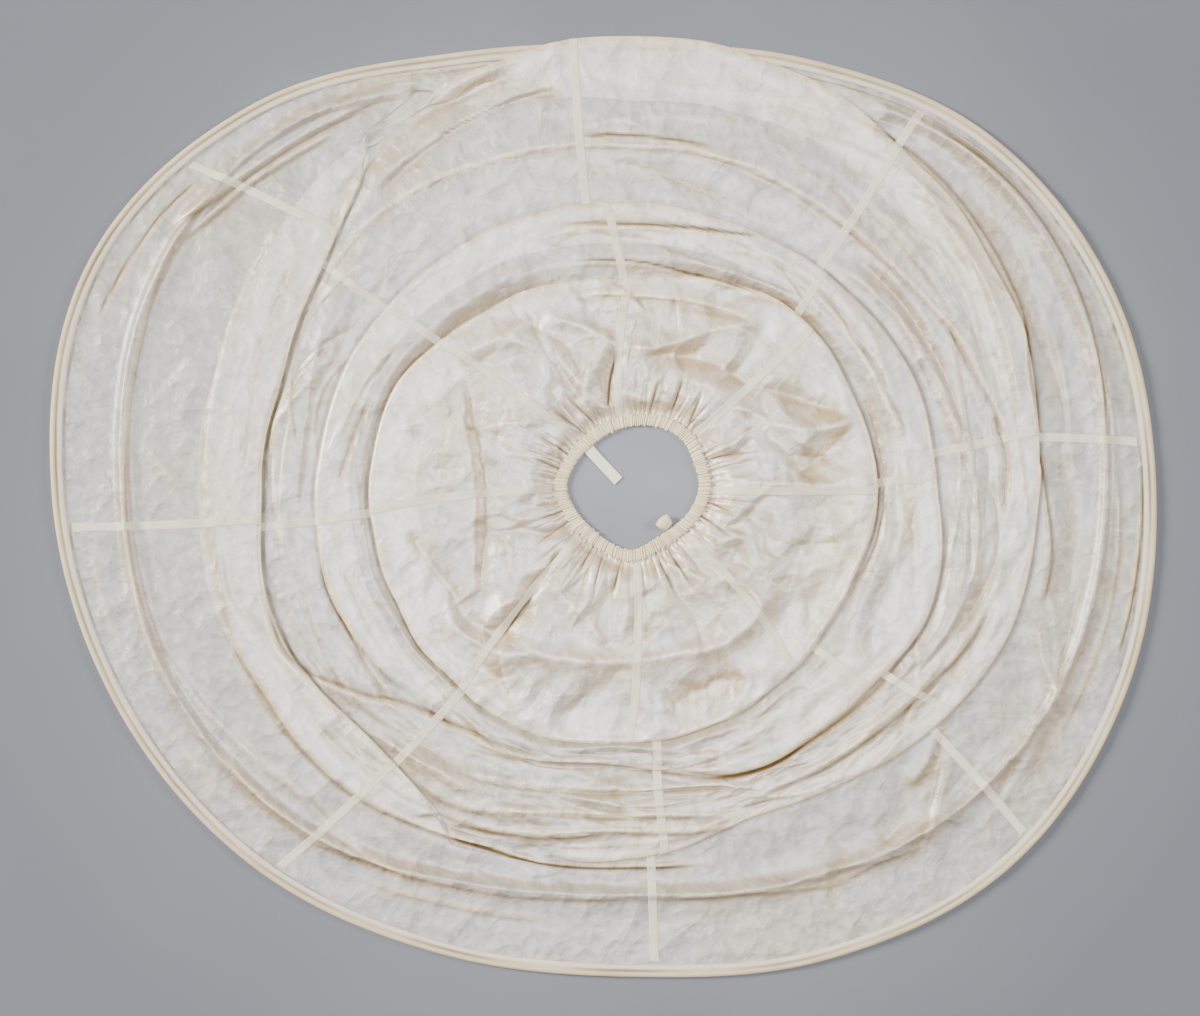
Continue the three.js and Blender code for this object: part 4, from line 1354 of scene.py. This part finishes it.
class Nodes:
    """A short way to add and link the nodes of one material."""

    def __init__(self, name):
        self.material = bpy.data.materials.new(name)
        self.material.use_nodes = True
        self.tree = self.material.node_tree
        self.shader = self.tree.nodes["Principled BSDF"]

    def add(self, kind, inputs=None, **settings):
        node = self.tree.nodes.new(kind)
        for key, value in settings.items():
            setattr(node, key, value)
        for key, value in (inputs or {}).items():
            self.feed(node.inputs[key], value)
        return node

    def feed(self, socket, value):
        if isinstance(value, bpy.types.NodeSocket):
            self.tree.links.new(value, socket)
        else:
            socket.default_value = value

    def value(self, name):
        return self.add("ShaderNodeAttribute", attribute_name=name).outputs["Fac"]

    def on_cloth(self):
        return self.add("ShaderNodeUVMap", uv_map="cloth").outputs["UV"]

    def in_frame(self):
        return self.add("ShaderNodeTexCoord").outputs["Object"]

    def plus(self, first, second):
        return self.add("ShaderNodeMath", {0: first, 1: second}, operation="ADD").outputs[0]

    def times(self, first, second):
        return self.add("ShaderNodeMath", {0: first, 1: second}, operation="MULTIPLY").outputs[0]

    def mix(self, share, first, second):
        node = self.add("ShaderNodeMix", data_type="RGBA")
        self.feed(node.inputs["Factor"], share)
        self.feed(node.inputs["A"], first)
        self.feed(node.inputs["B"], second)
        return node.outputs["Result"]

    def spread(self, value, low, high, to_low, to_high):
        node = self.add("ShaderNodeMapRange", {"Value": value, "From Min": low, "From Max": high,
                                               "To Min": to_low, "To Max": to_high})
        return node.outputs["Result"]

    def noise(self, place, scale, detail, stretch=None):
        if stretch is not None:
            place = self.add("ShaderNodeMapping", {"Vector": place, "Scale": stretch}).outputs["Vector"]
        node = self.add("ShaderNodeTexNoise", {"Vector": place, "Scale": scale, "Detail": detail})
        return node.outputs["Fac"]

    def crumple(self, place, scale, detail):
        node = self.add("ShaderNodeTexNoise", noise_type="RIDGED_MULTIFRACTAL")
        inputs = {"Vector": place, "Scale": scale, "Detail": detail, "Offset": 1.0, "Gain": 1.5}
        for key, value in inputs.items():
            self.feed(node.inputs[key], value)
        return node.outputs["Fac"]

    def threads(self, place, direction, spacing):
        bands_per_scale = 3.18
        node = self.add("ShaderNodeTexWave", {"Vector": place, "Scale": 1 / spacing / bands_per_scale},
                        wave_type="BANDS", bands_direction=direction, wave_profile="SIN")
        return node.outputs["Fac"]

    def bump(self, height, distance, strength=1.0):
        node = self.add("ShaderNodeBump", {"Height": height, "Distance": distance, "Strength": strength})
        return node.outputs["Normal"]

    def finish(self, **inputs):
        for key, value in inputs.items():
            self.feed(self.shader.inputs[key.replace("_", " ")], value)
        return self.material


def silk_material():
    """Sheer plain-weave silk: cool and see-through where single, creamier where pressed or stained,
    with a mottle of painted sheen and with painted shade: tan on slopes and in hollows, grey on hidden
    layers, brown in crevices.
    """
    nodes = Nodes("sheer_silk")
    cloth, place = nodes.on_cloth(), nodes.in_frame()
    tone, crevice, slant, body, inside = (nodes.value(name) for name in SILK_TONES)
    weave = nodes.times(*(nodes.threads(cloth, way, SILK_THREAD) for way in "XY"))
    slubs = nodes.noise(cloth, *SILK_NOISES["slubs"], SLUB_STRETCH)
    crinkle = nodes.noise(place, *SILK_NOISES["crinkle"])
    crumples = nodes.crumple(place, *SILK_NOISES["crumples"])
    stains = nodes.noise(place, *SILK_NOISES["stains"])
    sources = dict(stained=stains, slubbed=slubs, pale=crinkle, grey=crinkle, crumpled=crumples,
                   cover=crinkle, gaps=weave, rough=slubs, gloss=crevice)
    spread = {key: nodes.spread(source, *SILK_SPREADS[key]) for key, source in sources.items()}
    warmth = nodes.plus(spread["stained"], nodes.times(tone, TONE_WARMTH))
    colour = nodes.mix(warmth, SILK_COOL, SILK_WARM)
    colour = nodes.mix(spread["slubbed"], colour, SLUB_GREY)
    # A mottle of painted sheen from the crinkle, paler and greyer.
    colour = nodes.mix(spread["pale"], colour, SILK_SHEEN_PALE)
    colour = nodes.mix(spread["grey"], colour, SILK_SHEEN_GREY)
    colour = nodes.mix(spread["crumpled"], colour, SILK_WARM)
    # Painted shade: tan on slopes, shaded creases and hollows, grey on hidden layers, brown in crevices.
    colour = nodes.mix(slant, colour, SILK_SHADE_TAN)
    colour = nodes.mix(nodes.times(inside, INSIDE_SHARE), colour, INSIDE_SHADE_GREY)
    colour = nodes.mix(crevice, colour, CREVICE_SHADE_BROWN)
    cover = nodes.plus(nodes.plus(spread["cover"], body), spread["gaps"])
    for field, share in ((tone, TONE_COVER), (slant, SLANT_COVER), (crevice, CREVICE_COVER)):
        cover = nodes.plus(cover, nodes.times(field, share))
    relief = nodes.plus(nodes.times(crinkle, CRINKLE_HEIGHT), crumples)
    relief = nodes.plus(nodes.times(weave, WEAVE_HEIGHT), relief)
    normal = nodes.bump(relief, SILK_RELIEF)
    return nodes.finish(Base_Color=colour, Alpha=cover, Normal=normal, Roughness=spread["rough"],
                        Specular_IOR_Level=spread["gloss"], Coat_Weight=spread["gloss"],
                        Coat_Roughness=SATIN_ROUGHNESS, Coat_IOR=SATIN_IOR)


def tape_material(name, base, deeper, covers=TAPE_COVER):
    """Woven tape with ribs across it and painted shade between them, a little yellowed in places, and with
    painted shade in its puckers.
    """
    nodes = Nodes(name)
    cloth, place = nodes.on_cloth(), nodes.in_frame()
    crevice, pale = nodes.value("crevice"), nodes.value("pale")
    weave = nodes.times(nodes.threads(cloth, "Y", TAPE_RIB), nodes.threads(cloth, "X", TAPE_END))
    age = nodes.noise(place, *TAPE_AGE)
    colour = nodes.mix(nodes.spread(age, *TAPE_SPREADS["aged"]), base, deeper)
    colour = nodes.mix(nodes.spread(weave, *TAPE_SPREADS["shaded"]), colour, WEAVE_TAN)
    colour = nodes.mix(pale, colour, LEAF_BEIGE)
    # Painted shade in the grooves and between the gathers.
    colour = nodes.mix(nodes.times(crevice, TAPE_CREVICE), colour, CREVICE_SHADE_BROWN)
    rough = nodes.spread(age, *TAPE_SPREADS["rough"])
    cover = nodes.spread(weave, *TAPE_GAPS, *covers)
    return nodes.finish(Base_Color=colour, Alpha=cover, Normal=nodes.bump(weave, *TAPE_BUMP), Roughness=rough,
                        Specular_IOR_Level=0.3, Sheen_Weight=0.2)


def thread_material():
    """Twisted sewing thread, with painted shade between its turns."""
    nodes = Nodes("sewing_thread")
    place = nodes.in_frame()
    twist = nodes.noise(place, *THREAD_TWIST)
    age = nodes.noise(place, *THREAD_AGE)
    colour = nodes.mix(nodes.spread(age, *THREAD_SPREADS["aged"]), THREAD_CREAM, THREAD_TAN)
    # Painted shade between the turns of the twist.
    colour = nodes.mix(nodes.spread(twist, *THREAD_SPREADS["twisted"]), colour, THREAD_TAN)
    rough = nodes.spread(twist, *THREAD_SPREADS["rough"])
    return nodes.finish(Base_Color=colour, Normal=nodes.bump(twist, *THREAD_BUMP), Roughness=rough,
                        Specular_IOR_Level=0.4)


def floor_material():
    """A plain grey floor, with a painted pool of light that makes it paler in the middle."""
    nodes = Nodes("pale_floor")
    place = nodes.in_frame()
    grain = nodes.noise(place, *FLOOR_GRAIN)
    away = nodes.add("ShaderNodeVectorMath", {0: place}, operation="LENGTH").outputs["Value"]
    # Painted pool of light: paler towards the middle.
    colour = nodes.mix(nodes.spread(away, *FLOOR_SPREADS["away"]), FLOOR_PAINTED_LIGHT, FLOOR_GREY)
    colour = nodes.mix(nodes.spread(grain, *FLOOR_SPREADS["grain"]), colour, FLOOR_SHADE)
    return nodes.finish(Base_Color=colour, Roughness=0.9, Specular_IOR_Level=0.1)


def row_places(grid):
    """Distance of each point along its column from the vent."""
    lay = grid["lay"]
    outwards = np.linalg.norm(np.diff(lay, axis=0), axis=-1)
    return np.concatenate([np.zeros((1, lay.shape[1])), np.cumsum(outwards, axis=0)])


def gore_slice(field, gore):
    """The columns of one gore, from its own seam to the next one."""
    columns = np.arange(gore * COLUMNS_PER_GORE, (gore + 1) * COLUMNS_PER_GORE + 1)
    return field[:, columns % field.shape[1]]


def make_gores(grid, material):
    """The eight gores, each a thin sheet between two seams."""
    along = row_places(grid)
    gores = []
    for gore in range(len(SEAMS)):
        points = gore_slice(grid["points"], gore)
        lay = gore_slice(grid["lay"], gore)
        rows, columns = points.shape[:2]
        beside = np.linalg.norm(np.diff(lay, axis=1), axis=-1)
        across = np.concatenate([np.zeros((rows, 1)), np.cumsum(beside, axis=1)], axis=1)
        across -= across[:, -1:] / 2
        uv = np.stack([across, gore_slice(along, gore)], -1).reshape(-1, 2)
        values = {key: gore_slice(grid[key], gore) for key in SILK_TONES}
        faces = grid_faces(rows, columns)
        piece = new_mesh(f"silk_gore_{gore + 1}", points.reshape(-1, 3), faces, uv, values, material)
        dress(piece, f"gore_{gore + 1}")
        gores.append((piece, across, gore_slice(along, gore)))
    return gores


def grid_normals(points):
    """Unit normals of the grid, upwards where a layer lies face up."""
    outwards = np.gradient(points, axis=0)
    around = np.roll(points, -1, axis=1) - np.roll(points, 1, axis=1)
    normal = np.cross(outwards, around)
    return normal / np.maximum(np.linalg.norm(normal, axis=-1, keepdims=True), 1e-9)


def tape_line(points, normals, column, offset, rows):
    """Points and normals at a distance beside a seam's column, along the rows given."""
    count = points.shape[1]
    sign = 1 if offset >= 0 else -1
    spots, tops = [], []
    for row in rows:
        left = abs(offset)
        step = 0
        here = points[row, column % count]
        while True:
            beyond = points[row, (column + sign * (step + 1)) % count]
            gap = np.linalg.norm(beyond - here)
            if gap >= left:
                share = left / gap
                spots.append(here + (beyond - here) * share)
                tops.append(normals[row, (column + sign * step) % count])
                break
            left -= gap
            here = beyond
            step += 1
    return np.array(spots), np.array(tops)


def closed_strip(name, ring, widths, lengths, material):
    """A mesh of a closed section along a line, with both ends capped and a UV map of its flat tape."""
    steps, count = ring.shape[:2]
    faces = grid_faces(steps, count, closed_columns=True)
    faces.append(list(range(count))[::-1])
    faces.append([(steps - 1) * count + k for k in range(count)])
    uv = np.stack([np.tile(widths, (steps, 1)), np.tile(lengths[:, None], (1, count))], -1).reshape(-1, 2)
    return new_mesh(name, ring.reshape(-1, 3), faces, uv, material=material)


def make_seam_tapes(grid, material):
    """A tape over each seam, following every fold and crease of the cloth under it."""
    points = grid["points"]
    normals = grid_normals(points)
    first, last = (int(row) for row in np.searchsorted(grid["places"], TAPE_ENDS))
    half = SHOWN_SEAM_WIDTH / 2
    profile = [(half * share, lift) for share, lift in SEAM_PROFILE]
    widths = [offset for offset, _ in profile + profile[-2:0:-1]]
    along = row_places(grid)
    tapes = []
    for seam in range(len(SEAMS)):
        column = seam * COLUMNS_PER_GORE
        lines = [tape_line(points, normals, column, offset, range(first, last + 1)) for offset, _ in profile]
        upper = [spots + tops * lift for (spots, tops), (_, lift) in zip(lines, profile)]
        lower = [spots + tops * SEAM_UNDERSIDE for spots, tops in reversed(lines[1:-1])]
        ring = np.stack(upper + lower, axis=1)
        length = along[first:last + 1, column]
        piece = closed_strip(f"seam_strip_{seam + 1}", ring, widths, length, material)
        dress(piece, f"seam_tape_{seam + 1}")
        tapes.append((piece, length[-1] - length[0]))
    return tapes


def swept_band(name, outline, steps, profile_at, tones_at, material):
    """A closed band around an outline of the plan, with the profile given for each bearing."""
    bearing = np.arange(steps) * 360 / steps
    profiles = profile_at(bearing)
    radius = plan_at(outline, bearing)[:, None] + profiles[..., 0]
    points = np.concatenate([turned(radius, bearing[:, None]), profiles[..., 1:]], -1)
    count = points.shape[1]
    girth = np.linalg.norm(np.diff(points, axis=1, append=points[:, :1]), axis=-1)
    across = np.concatenate([np.zeros((steps, 1)), np.cumsum(girth, axis=1)[:, :-1]], axis=1)
    steps_along = np.linalg.norm(np.roll(points, -1, axis=0) - points, axis=-1)
    along = np.concatenate([[0], np.cumsum(steps_along[:-1, 0])])
    uv = np.stack([across, np.tile(along[:, None], (1, count))], -1).reshape(-1, 2)
    faces = grid_faces(steps, count, closed_rows=True, closed_columns=True)
    piece = new_mesh(name, points.reshape(-1, 3), faces, uv, tones_at(bearing, profiles), material)
    flat = (float(girth.sum(axis=1).mean()) / 2, float(steps_along.sum(axis=0).mean()))
    return dict(piece=piece, flat=flat, points=points)


def rim_profile(bearing):
    """The rim binding's folded tape: lower leaf, rolled edge, a sewn groove and a flat upper leaf."""
    out, rise = RIM_PROFILE.T
    pucker = sum(size * ripple(bearing, turns, seed) for size, turns, seed in RIM_PUCKERS)
    heights = rise + smooth(rise, *RIM_UPPER) * pucker[:, None]
    return np.stack([np.broadcast_to(out, heights.shape), heights], -1)


def rim_tones(bearing, profiles):
    """How dark the painted shade in the groove sewn along the rim binding and at its inner edge is, and how
    pale its inner leaf is.
    """
    out, top = profiles[..., 0], profiles[..., 1] > RIM_TOP
    groove = sum(dark * np.exp(-((out - place) / reach) ** 2) for place, reach, dark in RIM_GROOVES)
    mean, sway, turns, seed = GROOVE_DARK
    groove = np.clip(groove, 0, 1) * top * (mean + sway * ripple(bearing, turns, seed))[:, None]
    share, start, full = RIM_PALE
    return dict(crevice=groove, pale=share * top * smooth(-out, start, full))


def vent_profile(bearing):
    """The vent band drawn up in gathers: its upper leaf is pleated and its edges are scalloped."""
    out, rise = VENT_PROFILE.T
    drawn = gathered(gather_phase(bearing))[:, None]
    size, turns, seed = BAND_DEPTH_SWAY
    deep = (BAND_DEPTH + size * ripple(bearing, turns, seed))[:, None]
    heights = rise + smooth(rise, *BAND_UPPER) * deep * drawn
    size, turns, seed = SCALLOP_SWAY
    uneven = (drawn + size * ripple(bearing, turns, seed)[:, None]) * deep
    outer, *outer_places = OUTER_SCALLOP
    inner, *inner_places = INNER_SCALLOP
    reach = out + outer * smooth(out, *outer_places) * uneven
    reach = reach - inner * (1 - smooth(out, *inner_places)) * uneven
    return np.stack([reach, heights], -1)


def vent_tones(bearing, profiles):
    """How dark the painted shade in the valleys between the vent band's gathers is, and how pale its outer
    edge is.
    """
    dark = np.clip(-gathered(gather_phase(bearing)), 0, 1) ** 2
    share, *places = VENT_PALE
    pale = share * smooth(profiles[..., 0], *places)
    return dict(crevice=np.tile(dark[:, None], (1, profiles.shape[1])), pale=pale)


def make_bands(rim_tape, vent_tape):
    """The rim binding and the gathered vent band."""
    rim = swept_band("rim_binding_tape", "rim", RIM_COLUMNS, rim_profile, rim_tones, rim_tape)
    dress(rim["piece"], "rim_binding")
    vent = swept_band("gathered_vent_band", "vent", VENT_COLUMNS, vent_profile, vent_tones, vent_tape)
    dress(vent["piece"], "vent_band")
    return rim, vent


def tape_sheet(name, middle, width, thickness, material, arch=0):
    """A short tape along a middle line of points with sideways and upward directions, arched across where
    asked, with a width that may change along it."""
    spots, sides, tops = middle
    half = np.max(width) / 2
    narrow = (np.broadcast_to(width, len(spots)) / np.max(width))[:, None]
    upper = [(share, thickness / 2 if share > -1 else 0) for share in STRIP_UPPER]
    profile = upper + [(-share, -lift) for share, lift in upper]
    profile = [(half * share, lift - arch * share ** 2) for share, lift in profile]
    ring = np.stack([spots + sides * across * narrow + tops * lift for across, lift in profile], axis=1)
    length = np.concatenate([[0], np.cumsum(np.linalg.norm(np.diff(spots, axis=0), axis=-1))])
    return closed_strip(name, ring, [across for across, _ in profile], length, material), length[-1]


def floor_ways(bearing):
    """Directions ahead and to the left on the floor, at a bearing in degrees."""
    return (np.append(turned(1, turn), 0) for turn in (bearing, bearing + 90))


def make_tab(material):
    """The bare tape tab, lying on the floor with its root against the vent band."""
    root = np.append(turned(float(plan_at("vent", TAB_BEARING)) - TAB_INSET, TAB_BEARING), 0)
    ahead, side = floor_ways(TAB_HEADING)
    up = np.array((0, 0, 1))
    share = np.linspace(0, 1, TAB_STEPS)[:, None]
    wave, turns = TAB_WAVE
    lift = TAB_LEVEL + TAB_ROOT_RISE * (1 - share) ** 3 + wave * np.sin(share * turns)
    spots = root + ahead * share * TAB_LENGTH + up * lift
    sides, tops = (np.broadcast_to(way, spots.shape) for way in (side, up))
    piece, length = tape_sheet("bare_tape_tab", (spots, sides, tops), TAB_WIDTH, TAB_THICKNESS, material)
    dress(piece, "tape_tab")
    return piece, length


def make_tie(material):
    """The end of the draw tie: a tape that leaves the band, turns over and comes back under."""
    line = soft_turns(np.array(TIE_TURNS) * (TIE_REACH, TIE_HEIGHT))
    ahead, side = floor_ways(TIE_BEARING + 180)
    up = np.array((0, 0, 1))
    start = -ahead * (float(plan_at("vent", TIE_BEARING)) - TIE_INSET)
    spots = start + ahead * line[:, :1] + up * line[:, 1:]
    step = np.gradient(line, axis=0)
    step /= np.linalg.norm(step, axis=-1, keepdims=True)
    tops = up * step[:, :1] - ahead * step[:, 1:]
    sides = np.broadcast_to(side, spots.shape)
    least, swell = TIE_SWELL
    width = TIE_WIDTH * (least + swell * np.sin(np.linspace(0, math.pi, len(spots))))
    piece, length = tape_sheet("draw_tie_end", (spots, sides, tops), width, TIE_THICKNESS, material, TIE_ARCH)
    dress(piece, "draw_tie")
    return piece, length


def stitch_lines(grid, rim, vent):
    """The lines that are sewn: both sides of each seam tape on the layers that show, the rim and the band."""
    points = grid["points"]
    normals = grid_normals(points)
    offset = SHOWN_SEAM_WIDTH / 2 - STITCH_INSET
    lines = []
    for seam in range(len(SEAMS)):
        for start, stop in LAYER_SPANS:
            sewn = np.clip((start, stop), *STITCH_ENDS)
            low, high = np.searchsorted(grid["places"], sewn)
            for side in (-offset, offset):
                spots, tops = tape_line(points, normals, seam * COLUMNS_PER_GORE, side, range(low, high))
                lines.append(spots + tops * STITCH_LIFT)
    for band, point in ((rim, RIM_STITCH_POINT), (vent, VENT_STITCH_POINT)):
        ring = band["points"][:, point] + (0, 0, BAND_STITCH_LIFT)
        lines.append(np.concatenate([ring, ring[:1]]))
    return lines


def stitch_tree(material):
    """Geometry Nodes that sew a stitch at equal steps along every line, turned along it."""
    tree = bpy.data.node_groups.new("sewn_stitches", "GeometryNodeTree")
    tree.interface.new_socket("Lines", in_out="INPUT", socket_type="NodeSocketGeometry")
    for name in ("Spacing", "Stitch length", "Thread width"):
        tree.interface.new_socket(name, in_out="INPUT", socket_type="NodeSocketFloat")
    tree.interface.new_socket("Stitches", in_out="OUTPUT", socket_type="NodeSocketGeometry")
    enter = tree.nodes.new("NodeGroupInput")
    leave = tree.nodes.new("NodeGroupOutput")
    curve = tree.nodes.new("GeometryNodeMeshToCurve")
    steps = tree.nodes.new("GeometryNodeCurveToPoints")
    steps.mode = "LENGTH"
    along = tree.nodes.new("FunctionNodeAlignRotationToVector")
    along.axis = "X"
    size = tree.nodes.new("ShaderNodeCombineXYZ")
    stitch = tree.nodes.new("GeometryNodeMeshIcoSphere")
    stitch.inputs["Radius"].default_value = 0.5
    stitch.inputs["Subdivisions"].default_value = 1
    sewn = tree.nodes.new("GeometryNodeInstanceOnPoints")
    real = tree.nodes.new("GeometryNodeRealizeInstances")
    dyed = tree.nodes.new("GeometryNodeSetMaterial")
    dyed.inputs["Material"].default_value = material
    for source, output, target, entry in (
        (enter, "Lines", curve, "Mesh"),
        (curve, "Curve", steps, "Curve"),
        (enter, "Spacing", steps, "Length"),
        (steps, "Tangent", along, "Vector"),
        (enter, "Stitch length", size, "X"),
        (enter, "Thread width", size, "Y"),
        (enter, "Thread width", size, "Z"),
        (steps, "Points", sewn, "Points"),
        (stitch, "Mesh", sewn, "Instance"),
        (along, "Rotation", sewn, "Rotation"),
        (size, "Vector", sewn, "Scale"),
        (sewn, "Instances", real, "Geometry"),
        (real, "Geometry", dyed, "Geometry"),
        (dyed, "Geometry", leave, "Stitches"),
    ):
        tree.links.new(source.outputs[output], target.inputs[entry])
    return tree


def make_stitches(lines, material):
    """All the stitches of the canopy as one plain mesh."""
    spots, edges, count = [], [], 0
    for line in lines:
        spots.append(line)
        edges += [(count + k, count + k + 1) for k in range(len(line) - 1)]
        count += len(line)
    mesh = bpy.data.meshes.new("stitch_lines")
    mesh.from_pydata((np.concatenate(spots) * MM + CENTRE).tolist(), edges, [])
    guide = bpy.data.objects.new("stitch_lines", mesh)
    bpy.context.scene.collection.objects.link(guide)
    tree = stitch_tree(material)
    sewing = guide.modifiers.new("sewing", "NODES")
    sewing.node_group = tree
    sizes = {"Spacing": STITCH_SPACING, "Stitch length": STITCH_LENGTH, "Thread width": THREAD_WIDTH}
    for socket in tree.interface.items_tree:
        if socket.name in sizes:
            sewing[socket.identifier] = sizes[socket.name] * MM
    graph = bpy.context.evaluated_depsgraph_get()
    made = bpy.data.meshes.new_from_object(guide.evaluated_get(graph))
    guide.modifiers.remove(sewing)
    bpy.data.objects.remove(guide)
    piece = bpy.data.objects.new("thread_stitches", made)
    bpy.context.scene.collection.objects.link(piece)
    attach(piece, "root")
    return piece


def make_floor():
    """A plain pale floor under the canopy."""
    corners = [(x * FLOOR_SIDE, y * FLOOR_SIDE, FLOOR_LEVEL) for x, y in ((-1, -1), (1, -1), (1, 1), (-1, 1))]
    mesh = bpy.data.meshes.new("floor")
    mesh.from_pydata(corners, [], [(0, 1, 2, 3)])
    floor = bpy.data.objects.new("floor", mesh)
    mesh.materials.append(floor_material())
    bpy.context.scene.collection.objects.link(floor)


def add_lamp(name, place, side, power):
    """A square soft lamp turned to the middle of the canopy."""
    lamp = bpy.data.lights.new(name, "AREA")
    lamp.shape = "SQUARE"
    lamp.size = side
    lamp.energy = power
    light = bpy.data.objects.new(name, lamp)
    light.location = place
    light.rotation_euler = (Vector((0, 0, 0)) - Vector(place)).to_track_quat("-Z", "Y").to_euler()
    bpy.context.scene.collection.objects.link(light)


def make_light():
    """Two wide soft lamps at the sides and a small one overhead, as on a copy stand, and a pale surround."""
    for lamp in LAMPS:
        add_lamp(**lamp)
    world = bpy.data.worlds.new("surround")
    world.use_nodes = True
    background = world.node_tree.nodes["Background"]
    background.inputs["Color"].default_value = SURROUND_WHITE
    background.inputs["Strength"].default_value = SURROUND_STRENGTH
    bpy.context.scene.world = world


def make_camera():
    """Straight above the canopy, with the photograph's framing."""
    data = bpy.data.cameras.new("camera")
    data.lens = LENS
    data.sensor_width = SENSOR
    camera = bpy.data.objects.new("camera", data)
    camera.location = (*PHOTO_MIDDLE, PHOTO_WIDTH * LENS / SENSOR)
    bpy.context.scene.collection.objects.link(camera)
    bpy.context.scene.camera = camera


def declare_cloth(gores, tapes, bands):
    """Works out the flat width of every gore and the flat size of both bands, in metres, and leaves them
    unused.
    """
    for (piece, across, along), (tape, length) in zip(gores, tapes):
        width = float((across[:, -1] - across[:, 0]).max()) * MM
    rim, vent = bands
    for band, held in ((rim, "folded"), (vent, "gathered")):
        width, length = band["flat"]


silk = silk_material()
tape = tape_material("cream_tape", TAPE_CREAM, TAPE_TAN)
rim_tape = tape_material("rim_tape", RIM_CREAM, RIM_TAN)
yellowed = tape_material("yellowed_tape", TIE_YELLOW, TIE_TAN)
gathered_tape = tape_material("gathered_tape", VENT_CREAM, TIE_TAN)
thread = thread_material()
seam_silk = tape_material("seam_silk", TAPE_CREAM, TAPE_TAN, SEAM_COVER)

make_camera()
make_light()
make_floor()
grid = canopy_grid()
gores = make_gores(grid, silk)
tapes = make_seam_tapes(grid, seam_silk)
bands = make_bands(rim_tape, gathered_tape)
tab = make_tab(tape)
tie = make_tie(yellowed)
make_stitches(stitch_lines(grid, *bands), thread)
declare_cloth(gores, tapes, bands)
